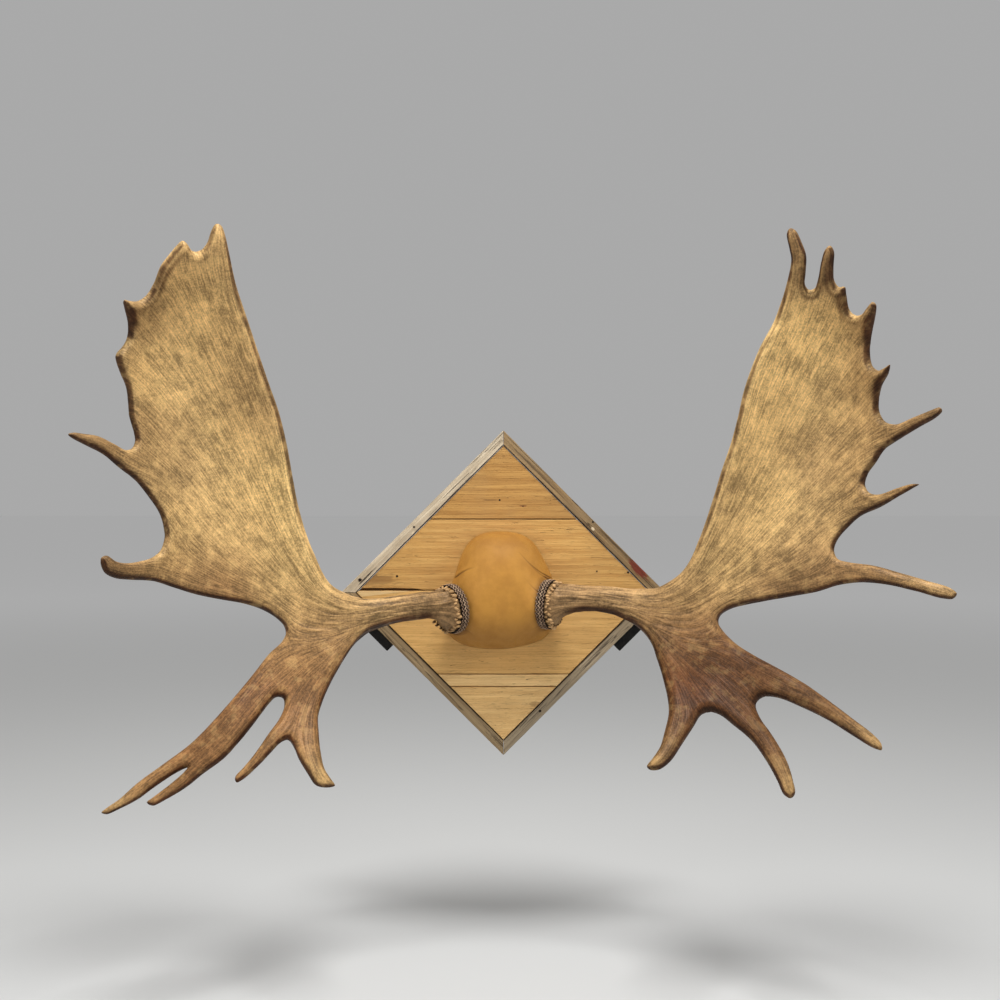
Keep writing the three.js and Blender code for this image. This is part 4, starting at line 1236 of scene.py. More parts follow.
RIGHT_ANTLER = Antler(
    foot=Foot(72, -3, 105, 25, 3, Side.RIGHT),
    outline={
        "beamTop": [
            (42, 27), (75, 28), (98, 30), (118, 28), (142, 26.5), (172, 26), (200, 22), (226, 21.5),
            (244, 23)],
        "innerEdge": [
            (263, 32), (282, 46), (296, 64), (310, 94), (324, 131), (336, 168), (349, 211), (364, 255),
            (375, 296), (384, 336), (398, 378), (412, 411), (433, 450), (446, 486), (455, 520), (460, 548)],
        "topTines": [
            (457, 566), (453, 590), (458, 599), (466, 596), (477, 575), (484, 554), (483, 526), (482, 509),
            (488, 500), (497, 502), (503, 518), (508, 544), (514, 564), (522, 571), (528, 561), (527, 535),
            (528, 514), (535, 504), (544, 505), (547, 490), (552, 467), (561, 459), (573, 461), (582, 472),
            (590, 481), (595, 476), (592, 454), (586, 423), (584, 398), (588, 378), (598, 371), (609, 375),
            (618, 381), (613, 364), (603, 345)],
        "sideTines": [
            (599, 325), (600, 303), (610, 289), (628, 285), (655, 296), (684, 308), (698, 312), (701, 306),
            (690, 295), (665, 281), (635, 263), (608, 245), (594, 224), (581, 205), (577, 187), (584, 176),
            (600, 173), (630, 183), (655, 190), (665, 189), (655, 183), (634, 171), (603, 153), (570, 138),
            (549, 119), (534, 101), (528, 84), (534, 70), (552, 64.5), (593, 59), (635, 47), (680, 34),
            (714, 23), (725, 14), (719, 6), (702, 6.5), (660, 18), (615, 28)],
        "palmUnderside": [
            (573, 32), (537, 28), (500, 17), (460, 10), (420, 3), (383, -4.5), (360, -12), (347, -21)],
        "browTop": [
            (344, -32), (351, -46), (370, -65), (400, -84.5), (440, -106), (483, -131), (523, -159),
            (560, -187), (590, -210)],
        "browTines": [
            (604, -226), (605, -236), (594, -234), (560, -214), (520, -189), (478, -168), (440, -153),
            (414, -151), (403, -162), (409, -182), (424, -204), (439, -227), (453, -253), (463, -285),
            (466, -306), (459, -313), (448, -307), (438, -286), (421, -255), (397, -221), (366, -194),
            (345, -178), (330, -174), (317, -178), (303, -199), (286, -225), (268, -252), (250, -266),
            (235, -267.5), (229, -263), (238, -251), (250, -232), (257, -208), (264, -177)],
        "browUnderside": [(262, -152), (255, -123), (246, -93), (235, -63), (219, -43)],
        "beamUnderside": [
            (200, -31), (178, -21.5), (150, -15.5), (122, -15), (98, -20), (75, -25), (42, -28)],
    },
    form=[
        (42, 0, 92, 26), (72, 1, 106, 27), (110, 5, 123, 24), (150, 6, 141, 23), (200, -1, 160, 24),
        (250, -8, 177, 24), (300, -16, 192, 22), (340, 2, 197, 18), (263, 38, 189, 22), (304, 85, 204, 15),
        (327, 150, 214, 12), (347, 220, 224, 10), (375, 310, 238, 9), (412, 415, 256, 9),
        (450, 510, 280, 10), (459, 597, 305, 13), (400, 60, 200, 13), (430, 150, 204, 9), (465, 260, 212, 8),
        (490, 370, 234, 8), (505, 465, 264, 8), (480, 55, 238, 9), (522, 90, 258, 8), (572, 190, 286, 8),
        (594, 320, 300, 8), (583, 410, 306, 8), (560, 470, 310, 8), (522, 569, 326, 13), (592, 479, 350, 12),
        (616, 380, 352, 11), (699, 309, 398, 13), (663, 188, 376, 12), (723, 13, 380, 13),
        (440, 14, 218, 11), (560, 46, 286, 11), (640, 35, 334, 13), (300, -85, 216, 20),
        (350, -125, 246, 14), (285, -165, 262, 14), (345, -165, 272, 12), (450, -130, 300, 14),
        (415, -200, 310, 14), (604, -232, 384, 13), (460, -311, 378, 13), (232, -264, 344, 12)],
    tone=[
        (95, 5, 0.02, 0.2, 0.4, 1.0), (150, 8, 0.1, 0.2, 0.35, 1.0), (215, 0, 0.35, 0.3, 0.25, 0.8),
        (265, 5, 0.5, 0.35, 0.25, 0.5), (320, 10, 0.65, 0.3, 0.18, 0.35), (290, 70, 0.65, 0.25, 0.15, 0.4),
        (380, 50, 0.8, 0.15, 0.12, 0.3), (345, 170, 0.65, 0.2, 0.25, 0.3), (440, 80, 0.6, 0.15, 0.22, 0.25),
        (420, 170, 0.85, 0.08, 0.08, 0.2), (520, 120, 0.6, 0.15, 0.25, 0.25),
        (500, 220, 0.45, 0.08, 0.4, 0.2), (570, 230, 0.55, 0.2, 0.28, 0.25),
        (400, 300, 0.8, 0.1, 0.12, 0.25), (490, 320, 0.65, 0.05, 0.16, 0.15),
        (570, 330, 0.6, 0.15, 0.25, 0.2), (450, 400, 0.85, 0.05, 0.06, 0.2),
        (520, 410, 0.8, 0.05, 0.08, 0.15), (460, 490, 0.75, 0.15, 0.06, 0.2),
        (508, 462, 1.0, 0.05, 0.0, 0.15), (470, 560, 0.5, 0.4, 0.3, 0.2), (460, 592, 0.3, 0.4, 0.5, 0.2),
        (522, 555, 0.1, 0.25, 0.8, 0.2), (590, 470, 0.15, 0.2, 0.6, 0.2), (612, 376, 0.2, 0.25, 0.5, 0.2),
        (650, 285, 0.45, 0.4, 0.35, 0.4), (697, 308, 0.1, 0.2, 0.65, 0.2), (620, 175, 0.45, 0.4, 0.35, 0.4),
        (660, 188, 0.15, 0.2, 0.6, 0.2), (600, 45, 0.45, 0.5, 0.42, 0.3), (680, 22, 0.4, 0.35, 0.35, 0.4),
        (722, 13, 0.4, 0.1, 0.3, 0.2), (440, 15, 0.35, 0.65, 0.6, 0.3), (530, 35, 0.45, 0.55, 0.4, 0.3),
        (265, -50, 0.3, 0.7, 0.7, 0.4), (330, -60, 0.4, 0.7, 0.56, 0.35), (305, -145, 0.5, 1.0, 0.52, 0.25),
        (370, -120, 0.25, 0.85, 0.76, 0.4), (400, -160, 0.2, 0.75, 0.75, 0.3),
        (470, -140, 0.25, 0.65, 0.65, 0.35), (550, -190, 0.35, 0.6, 0.58, 0.3),
        (602, -232, 0.5, 0.15, 0.25, 0.2), (430, -240, 0.25, 0.7, 0.68, 0.3),
        (460, -305, 0.6, 0.15, 0.35, 0.2), (270, -215, 0.25, 0.75, 0.8, 0.3),
        (236, -262, 0.6, 0.2, 0.28, 0.2)],
)


# ---- repeated trim


class BitsTree(Wiring):
    """A Geometry Nodes tree that sets small bits on points, with a named input for each of its sizes."""

    def __init__(self, name: str, sizes: dict[str, object]) -> None:
        """Starts a tree.

        Args:
            name: the tree's name.
            sizes: value of each named input, which takes its type.
        """
        super().__init__(bpy.data.node_groups.new(name, "GeometryNodeTree"))
        self.sizes = sizes
        kinds = {int: "Int", float: "Float", tuple: "Vector"}
        inputs = {"Geometry": "Geometry"} | {label: kinds[type(value)] for label, value in sizes.items()}
        for label, kind in inputs.items():
            self.tree.interface.new_socket(label, in_out="INPUT", socket_type=f"NodeSocket{kind}")
        self.tree.interface.new_socket("Geometry", in_out="OUTPUT", socket_type="NodeSocketGeometry")
        self.entry = self.add("NodeGroupInput").outputs

    def bake(self, bits: NodeSocket, material: Material, piece: Object) -> Object:
        """Runs the tree.

        Args:
            bits: the instances that it sets.
            material: what they are made of.
            piece: the object whose mesh goes into the tree.

        Returns:
            The piece, as a plain mesh of all the bits.
        """
        real = self.add("GeometryNodeRealizeInstances", {0: bits}).outputs[0]
        dressed = self.add("GeometryNodeSetMaterial", {"Geometry": real, "Material": material}).outputs[0]
        self.add("NodeGroupOutput", {0: dressed})
        modifier = piece.modifiers.new("bits", "NODES")
        modifier.node_group = self.tree
        for socket in self.tree.interface.items_tree:
            if socket.in_out == "INPUT" and socket.name in self.sizes:
                modifier[socket.identifier] = self.sizes[socket.name]
        return baked(piece)


@dataclass
class RingOfBits:
    """Small equal bits set round a ring in rows, made with Geometry Nodes.

    Lengths are in metres here, because the node tree works on the finished size.
    """

    name: str
    rows: int
    per_row: int
    radius: float
    spread: float  # along the ring's axis, over all rows
    bit: tuple[float, float, float]  # full length round the ring, thickness and width along the axis
    tilt: float  # of the bits of every other row, either way
    unevenness: float
    seed: int

    def build(self, material: Material, placing: Matrix) -> Object:
        """Builds the bits.

        Args:
            material: what they are made of.
            placing: carries them from the Z axis to their place.

        Returns:
            One plain mesh object.
        """
        nodes = BitsTree("ring_of_bits", {
            "Rows": self.rows, "Per row": self.per_row, "Radius": self.radius, "Spread": self.spread,
            "Bit": self.bit, "Tilt": self.tilt, "Unevenness": self.unevenness, "Seed": self.seed})
        made = nodes.bake(self._bits(nodes), material, new_object(self.name, np.zeros((1, 3)), []))
        made.data.transform(placing)
        made.data.shade_smooth()
        return made

    @staticmethod
    def _bits(nodes: BitsTree) -> NodeSocket:
        """Sets a bit at each place round the ring.

        Args:
            nodes: the tree that the nodes are added to, with the ring's sizes as its inputs.

        Returns:
            The instances.
        """
        size, calc = nodes.entry, nodes.math
        index = nodes.add("GeometryNodeInputIndex").outputs[0]
        row = calc("FLOOR", calc("DIVIDE", index, size["Per row"]))
        odd = calc("MODULO", row, 2.0)
        turn = calc("DIVIDE", calc("ADD", index, calc("MULTIPLY", odd, 0.5)), size["Per row"])
        turn = calc("MULTIPLY", turn, 2 * math.pi)
        last_row = calc("MAXIMUM", calc("SUBTRACT", size["Rows"], 1.0), 1.0)
        level = calc("SUBTRACT", calc("DIVIDE", row, last_row), 0.5)
        chance = nodes.add("FunctionNodeRandomValue", {0: (-1, -1, -1), 1: (1, 1, 1), "Seed": size["Seed"]},
                           data_type="FLOAT_VECTOR")
        jitter = nodes.split(chance.outputs[0])
        loose = calc("MULTIPLY", size["Unevenness"], nodes.split(size["Bit"])["Y"])
        radius = calc("ADD", size["Radius"], calc("MULTIPLY", jitter["X"], loose))
        along = calc("ADD", calc("MULTIPLY", level, size["Spread"]), calc("MULTIPLY", jitter["Y"], loose))
        place = nodes.vector(calc("MULTIPLY", radius, calc("COSINE", turn)),
                             calc("MULTIPLY", radius, calc("SINE", turn)), along)
        count = calc("MULTIPLY", size["Rows"], size["Per row"])
        points = nodes.add("GeometryNodePoints", {"Count": count, "Position": place}).outputs[0]
        swing = calc("MULTIPLY", calc("SUBTRACT", calc("MULTIPLY", odd, 2.0), 1.0), size["Tilt"])
        tilt = calc("ADD", swing, calc("MULTIPLY", jitter["Z"], size["Unevenness"]))
        growth = calc("MULTIPLY", jitter["Z"], calc("MULTIPLY", size["Unevenness"], 0.6))
        ball = nodes.add("GeometryNodeMeshUVSphere", {"Segments": 8, "Rings": 6, "Radius": 0.5}).outputs[0]
        return nodes.add("GeometryNodeInstanceOnPoints", {
            "Points": points, "Instance": ball,
            "Rotation": nodes.vector(0.0, tilt, calc("ADD", turn, math.pi / 2)),
            "Scale": nodes.stretched(size["Bit"], calc("ADD", 1.0, growth))}).outputs[0]


@dataclass
class BraidedRing:
    """The plaited leather trim round a beam's foot: three cords side by side over a thin core.

    Each cord shows two rows of strands that lean towards each other, as a plait does.
    """

    foot: Foot
    inner: float = 38.0
    half_width: float = 8.0
    core_rise: float = 2.2
    cords: int = 3
    strands: int = 38  # in each row
    strand: tuple[float, float, float] = (6.6, 3.0, 2.7)  # length, thickness and width

    def build(self, material: Material) -> Object:
        """Builds the ring as one mesh."""
        rise, half = self.core_rise, self.half_width - 0.6
        profile = [(self.inner, -half + 1), (self.inner + rise * 0.7, -half), (self.inner + rise, -half / 2),
                   (self.inner + rise, half / 2), (self.inner + rise * 0.7, half), (self.inner, half - 1)]
        name = f"{self.foot.side.word}_braid_trim"
        ring = turned(name, profile, 96)
        ring.data.transform(self.foot.placing)
        pitch = 2 * self.half_width / self.cords
        for number in range(self.cords):
            offset = (number - (self.cords - 1) / 2) * pitch
            fullness = 0.0 if offset else 0.7
            cord = RingOfBits(name=f"{name}_cord", rows=2, per_row=self.strands,
                              radius=(self.inner + 3.2 + fullness) * MM, spread=0.34 * pitch * MM,
                              bit=tuple(size * MM for size in self.strand), tilt=math.radians(36),
                              unevenness=0.06, seed=number)
            joined(ring, cord.build(material, self.foot.placing @ Matrix.Translation((0, 0, offset * MM))))
        # crown: how far out each point stands, which the finish turns into painted shade deep down and pale
        # crowns that are partly painted highlight.
        _, off = self.foot.along_and_off(read_vertices(ring))
        top = self.inner + 4.7
        store(ring, "crown", ramp(np.linalg.norm(off, axis=1), top - 1.9, top + 0.2))
        return ring


@dataclass
class BurrPearls:
    """The bony teeth that stand round the burr like beads, beside the braid."""

    foot: Foot
    radius: float = 37.4
    level: float = 13.2  # along the beam, of the middle of the rows
    tooth: tuple[float, float, float] = (5.0, 5.4, 8.4)  # width, height and length along the beam

    def build(self, material: Material) -> Object:
        """Builds the teeth as one mesh with the attributes of the antler's finish."""
        pearls = RingOfBits(name=f"{self.foot.side.word}_burr_pearls", rows=2, per_row=26,
                            radius=self.radius * MM, spread=3.4 * MM,
                            bit=tuple(size * MM for size in self.tooth), tilt=math.radians(14),
                            unevenness=0.48, seed=7)
        made = pearls.build(material, self.foot.placing @ Matrix.Translation((0, 0, self.level * MM)))
        along, off = self.foot.along_and_off(read_vertices(made))
        rise = ramp(np.linalg.norm(off, axis=1), self.radius - 2.6, self.radius + 2.2)
        none = 0 * rise
        store(made, "flow", np.column_stack([off[:, 2] / 40, off[:, 1] / 40, along]))
        store(made, "tone", np.column_stack([none, none + 0.22, 0.52 - 0.28 * rise]))
        store(made, "growth", np.column_stack([none + 0.02, none + 0.1, 1.2 * rise - 0.7]))
        return made


def joined(first: Object, *others: Object) -> Object:
    """Joins meshes into the first one."""
    work = bmesh.new()
    for piece in (first, *others):
        work.from_mesh(piece.data)
    work.to_mesh(first.data)
    work.free()
    for piece in others:
        mesh = piece.data
        bpy.data.objects.remove(piece)
        bpy.data.meshes.remove(mesh)
    first.data.shade_smooth()
    return first


# ---- skull cap


@dataclass
class SkullCap:
    """The leather-covered dome, drawn tight over the skull and up to both rings.

    edge: its outline on the boards, [x, z]. creases: [u1, v1, u2, v2, depth] of folds in the leather, from
    the end at the ring to the end that dies away, seen as the patterns are.
    """

    feet: tuple[Foot, Foot]
    base: float = 38.3  # distance of its underside from the wall
    bulge: float = 1.38
    squareness: float = 2.5  # 2 makes it round, and more gives it a flatter front and fuller shoulders
    voxel: float = 1.2
    easing: int = 30  # rounds of smoothing all over
    neck_easing: int = 260  # further rounds behind each ring, where the leather is drawn smooth
    edge: list[Pair] = field(default_factory=lambda: [
        (-4, 109), (20, 106.5), (38, 100.5), (54, 88), (66, 69), (76, 50), (86, 27), (94, -12), (91, -50),
        (75, -77), (41, -91), (-4, -98), (-56, -95), (-81, -86), (-98, -71), (-102, -42), (-97, -8),
        (-90, 20), (-85, 34), (-80, 51), (-74, 68), (-63, 87), (-50, 99), (-32, 106.5)])
    creases: list[tuple[float, float, float, float, float]] = field(default_factory=lambda: [
        (-76, 41, -48, 56, 1.1), (78, 38, 26, 79, 1.2), (72, 37, 40, 64, 0.8), (64, 12, 38, 34, 0.8),
        (60, -2, 44, 12, 0.5), (-62, -44, -50, -52, 0.4), (60, -34, 46, -42, 0.4)])

    def build(self) -> Object:
        """Builds the cap as one closed mesh."""
        filling = Filling.of(self.edge, 3.0, 3.4, (0.5, 1.6, 3.2))
        square = np.maximum(filling.relax(np.zeros(filling.rim_count), 2.0), 0)
        inward = (1 - square / square.max()) ** (self.squareness / 2)
        film = math.sqrt(square.max()) * (1 - inward) ** (1 / self.squareness)
        low = self.base + 1.2

        def at(rise: np.ndarray | float) -> np.ndarray:
            """The filling's points at a height over the boards."""
            return np.column_stack([filling.points[:, 0], np.zeros(len(film)) - low - rise,
                                    filling.points[:, 1]])

        front, back = at(self.bulge * film), at(np.where(film > 0, -1.2, 0))
        cap = new_object("leather_cap", filling.closed(front, back), filling.closed_faces())
        for foot in self.feet:
            room = turned("room", [(0.4, -8.3), (47, -8.3), (47, 62), (0.4, 62)], 64)
            collar = turned("collar", [(2, -52), (38, -52), (43.2, -26), (44.2, -14), (42.8, -8.6),
                                       (37.4, -8.3), (37.4, 5.8), (2, 5.8)], 64)
            for part in (room, collar):
                part.data.transform(foot.placing)
            self._cut_out(cap, room)
            joined(cap, collar)
        remesh = cap.modifiers.new("skin", "REMESH")
        remesh.mode = "VOXEL"
        remesh.voxel_size = self.voxel * MM
        baked(cap)
        self._ease(cap)
        self._shape(cap)
        return cap

    def _ease(self, cap: Object) -> None:
        """Smooths the leather, most of all where it is drawn from the dome up to the rings."""
        vertices = read_vertices(cap)
        start, end = np.array([edge.vertices[:] for edge in cap.data.edges]).T
        ends, others = np.append(start, end), np.append(end, start)
        count = len(vertices)
        degree = np.bincount(ends, None, count)[:, None]
        free = ramp(-vertices[:, 1], self.base + 3, self.base + 14)
        neck = np.zeros(count)
        for foot in self.feet:
            along, off = foot.along_and_off(vertices)
            behind = ramp(along, -8.0, -11.0) * ramp(along, -75, -45)
            neck = np.maximum(neck, behind * ramp(np.linalg.norm(off, axis=1), 92, 62))
        for share, rounds in ((0.25 + 0.75 * free, self.easing), (neck * free, self.neck_easing)):
            for _ in range(rounds):
                sums = [np.bincount(ends, vertices[others, axis], count) for axis in range(3)]
                vertices += 0.5 * share[:, None] * (np.column_stack(sums) / degree - vertices)
        write_vertices(cap, vertices)

    @staticmethod
    def _cut_out(piece: Object, tool: Object) -> None:
        """Cuts a tool out of a piece, and removes the tool."""
        modifier = piece.modifiers.new("cut", "BOOLEAN")
        modifier.operation = "DIFFERENCE"
        modifier.solver = "EXACT"
        modifier.object = tool
        baked(piece)
        mesh = tool.data
        bpy.data.objects.remove(tool)
        bpy.data.meshes.remove(mesh)

    def _folds(self, places: np.ndarray) -> tuple[np.ndarray, np.ndarray]:
        """Works out the creases.

        Args:
            places: pattern points, one for each row.

        Returns:
            How far each point is pressed in, and how far the lips raise it, from 0 to 1.
        """
        fold, lip = np.zeros(len(places)), np.zeros(len(places))
        for u1, v1, u2, v2, deep in self.creases:
            start, along = np.array([u1, v1]), np.array([u2 - u1, v2 - v1])
            length = np.linalg.norm(along)
            share = np.clip((places - start) @ along / length**2, 0, 1)
            bow = 0.06 * length * np.sin(math.pi * share)
            side = (places - start) @ np.array([-along[1], along[0]]) / length - bow
            beyond = np.linalg.norm(places - start - share[:, None] * along, axis=1) - np.abs(side + bow)
            fade = deep * np.exp(-(np.maximum(beyond, 0) / 3) ** 2) * (1 - 0.85 * share)
            fold = np.maximum(fold, fade * np.exp(-((side / 0.8) ** 2)))
            lip = np.maximum(lip, fade * np.exp(-(((side - 3.0) / 2) ** 2)))
        return fold, lip

    def _shape(self, cap: Object) -> None:
        """Tucks the lower edge under, presses the folds into the leather and notes where painted shade
        darkens it.
        """
        vertices = read_vertices(cap)
        depth = -vertices[:, 1]
        tuck = 0.8 * (1 - ramp(depth, self.base, self.base + 5))
        away = (vertices - [-4.0, 0.0, 4.0]) * [1, 0, 1]
        away /= np.maximum(np.linalg.norm(away, axis=1), 1)[:, None]
        vertices -= away * tuck[:, None]
        vertices[:, 1] = np.minimum(vertices[:, 1], -self.base)
        front = ramp(depth, 55, 75)
        fold, lip = self._folds(to_pattern(vertices))
        triangles = np.array([[f.vertices[0], f.vertices[i], f.vertices[i + 1]]
                              for f in cap.data.polygons for i in range(1, len(f.vertices) - 1)])
        outward = vertex_normals(vertices, triangles)
        vertices += outward * ((0.5 * lip - 1.1 * fold) * front)[:, None]
        write_vertices(cap, vertices)
        # Painted shade in the folds, and a painted shadow line along the lower edge where it meets the
        # boards.
        dark = fold * front * 0.9 + 0.7 * (1 - ramp(depth, self.base + 1, self.base + 7))
        near_ring = np.zeros(len(vertices))
        for foot in self.feet:
            along, off = foot.along_and_off(vertices)
            within = np.linalg.norm(off, axis=1) < 48
            near_ring = np.maximum(near_ring, np.exp(-((along + 9) / 4) ** 2) * within)
        # Painted shade beside the rings, and painted shade that grows towards the bottom and where the
        # leather faces up.
        dull = 0.36 * ramp(-vertices[:, 2], 16, 80) + 0.32 * ramp(outward[:, 2], 0.1, 0.8)
        store(cap, "crease", np.clip(dark + 0.3 * near_ring + dull, 0, 1))
        cap.data.shade_smooth()


# ---- plaque


@dataclass
class Plaque:
    """Five boards in four mitred rails, hung as a diamond, on a backer panel with two black blocks."""

    side: float = 406.4
    rail_width: float = 18.0
    rail_depth: float = 40.0
    gap: float = 0.3
    rail_to_board: float = 1.2
    board_front: float = 38.0
    board_back: float = 19.0
    seams: tuple[float, ...] = (130, 4, -144, -166)
    seam_width: float = 1.2
    block_length: float = 92.0
    block_depth: float = 24.0
    block_proud: float = 17.5
    block_along: float = 118.0
    worn_edge: tuple[Pair, ...] = ((-140, 4.6), (-160, 7.4), (-252.4, 7.8))  # under board 2, at its left
    chipped_edge: tuple[Pair, ...] = ((-259, 0.5), (-251, -7.5), (-157, 3.2), (-257, 3.2))  # along board 3

    @property
    def panel_half(self) -> float:
        """Half of the board panel's diagonal."""
        return self.side / math.sqrt(2) - (self.rail_width + self.rail_to_board) * math.sqrt(2)

    def board(self, number: int) -> Object:
        """Builds one board.

        Args:
            number: 1 for the top one to 5.

        Returns:
            The board, with uneven sawn edges and eased arrises.
        """
        half = self.panel_half
        limits = [half, *self.seams, -half]
        top = limits[number - 1] - (self.seam_width / 2 if number > 1 else 0)
        bottom = limits[number] + (self.seam_width / 2 if number <= len(self.seams) else 0)
        levels = [bottom, 0.0, top] if bottom < 0 < top else [bottom, top]
        right = [(half - abs(z), z) for z in levels]
        left = [(abs(z) - half, z) for z in reversed(levels)]
        if number == 2:
            left[-1:] = reversed(self.worn_edge)
        corners = self._without_doubles([*right, *left])
        return self._plank(f"plank_{number}", corners, self.board_back, self.board_front, 13.0, number)

    def chip(self) -> Object:
        """Builds the pale planed facet at board 3's upper left corner."""
        return self._plank("plank_3_chip", self.chipped_edge, self.board_front - 2,
                           self.board_front + 0.25, 9.0, 8, 0.2)

    def rail(self, name: str, sign_x: int, sign_z: int, seed: int) -> Object:
        """Builds the mitred rail on the side of the diamond that faces (sign_x, sign_z)."""
        outer = self.side / math.sqrt(2)
        inner = outer - self.rail_width * math.sqrt(2)
        mitre = self.gap / 2
        corners = [(sign_x * (outer - mitre), sign_z * mitre), (sign_x * mitre, sign_z * (outer - mitre)),
                   (sign_x * mitre, sign_z * (inner - mitre)), (sign_x * (inner - mitre), sign_z * mitre)]
        if sign_x * sign_z < 0:
            corners.reverse()
        return self._plank(name, corners, 0.0, self.rail_depth, 9.0, seed)

    def backer(self) -> Object:
        """Builds the panel that carries the boards."""
        half = self.panel_half
        corners = [(half, 0), (0, half), (-half, 0), (0, -half)]
        return self._plank("backer_sheet", corners, 0.0, self.board_back - self.gap, 40.0, 31)

    def block(self, side: Side) -> Object:
        """Builds the black block behind one of the lower rails."""
        near, far = (self.block_along + half * self.block_length / 2 for half in (-1, 1))
        inner = self.side / 2 + self.gap
        outer = inner + self.block_proud
        turn = math.sqrt(0.5)
        corners = [(turn * (x + z), turn * (z - x))
                   for x, z in ((-far, -outer), (-near, -outer), (-near, -inner), (-far, -inner))]
        if side is Side.RIGHT:
            corners = [(-x, z) for x, z in reversed(corners)]
        return self._plank(f"{side.word}_spacer_block", corners, 0.0, self.block_depth, 1000.0, 5, 1.6, 0.0)

    @staticmethod
    def _without_doubles(corners: list[Pair]) -> list[Pair]:
        """Drops a corner that repeats the one before it."""
        return [corner for i, corner in enumerate(corners)
                if math.dist(corner, corners[i - 1]) > 0.01]

    def _plank(self, name: str, corners: Sequence[Pair], back: float, front: float, step: float, seed: int,
               ease: float = 0.8, waver: float = 0.32) -> Object:
        """Builds a plank from its outline.

        Args:
            name: the object's name.
            corners: the outline [x, z], counterclockwise as seen from the front.
            back: depth of its back face.
            front: depth of its front face.
            step: distance between the points at which its sawn edges waver.
            seed: makes each plank's edges its own.
            ease: width of its eased arrises.
            waver: how far its edges stray inwards.

        Returns:
            The plank.
        """
        rim = []
        for i, start in enumerate(corners):
            end = corners[(i + 1) % len(corners)]
            length = math.dist(start, end)
            parts = max(1, round(length / step))
            inward = ((start[1] - end[1]) / length, (end[0] - start[0]) / length)
            for k in range(parts):
                share = k / parts
                stray = 0.0
                if k:
                    stray = waver * (0.6 + noise.noise((share * length / 21, seed * 3.7, i * 5.1)))
                rim.append((start[0] + (end[0] - start[0]) * share + inward[0] * stray,
                            start[1] + (end[1] - start[1]) * share + inward[1] * stray))
        count = len(rim)
        vertices = np.array([(x, -depth, z) for depth in (front, back) for x, z in rim])
        sides = [[i, count + i, count + (i + 1) % count, (i + 1) % count] for i in range(count)]
        faces = [list(range(count)), list(range(2 * count - 1, count - 1, -1)), *sides]
        made = new_object(name, vertices, faces, smooth=False)
        face_outwards(made)
        bevel = made.modifiers.new("arris", "BEVEL")
        bevel.width = ease * MM
        bevel.segments = 2
        bevel.limit_method = "ANGLE"
        bevel.angle_limit = math.radians(40)
        return baked(made)


@dataclass
class NailHoles:
    """Old nail holes, each with the rusty end of its nail, set by Geometry Nodes at chosen places.

    places: [u, v, depth of the surface, radius], seen as the patterns are.
    """

    places: list[tuple[float, float, float, float]] = field(default_factory=lambda: [
        (-6.6, 164, 38, 1.8), (30.8, 154, 38, 1.2), (-170.8, 42, 38, 2.2), (149, 50, 38, 1.5),
        (199, 48, 38, 1.9), (-143.6, 120.8, 40, 2.0), (142.8, 128.8, 40, 1.8), (58, -173.6, 40, 2.4),
        (-230, 36, 40, 2.6)])
    proud: float = 0.15
    depth: float = 1.2

    def build(self, material: Material) -> Object:
        """Builds all of them as one mesh: a short peg on each point, sunk by half its depth."""
        table = np.array(self.places)
        made = new_object("nail_ends", on_sight_line(table[:, :2], table[:, 2] + self.proud), [])
        store(made, "size", table[:, 3] * MM)
        nodes = BitsTree("nail_ends", {"Depth": self.depth * MM})
        depth = nodes.entry["Depth"]
        size = nodes.add("GeometryNodeInputNamedAttribute", {"Name": "size"}, data_type="FLOAT").outputs[0]
        peg = nodes.add("GeometryNodeMeshCylinder", {"Vertices": 10, "Radius": 1.0, "Depth": 1.0,
                                                     "Side Segments": 1}).outputs[0]
        pegs = nodes.add("GeometryNodeInstanceOnPoints", {
            "Points": nodes.entry["Geometry"], "Instance": peg, "Rotation": (math.pi / 2, 0.0, 0.0),
            "Scale": nodes.vector(size, size, depth)}).outputs[0]
        sunk = nodes.vector(0.0, nodes.math("MULTIPLY", depth, 0.5), 0.0)
        moved = nodes.add("GeometryNodeTranslateInstances", {
            "Instances": pegs, "Translation": sunk, "Local Space": False}).outputs[0]
        return nodes.bake(moved, material, made)


# ---- studio


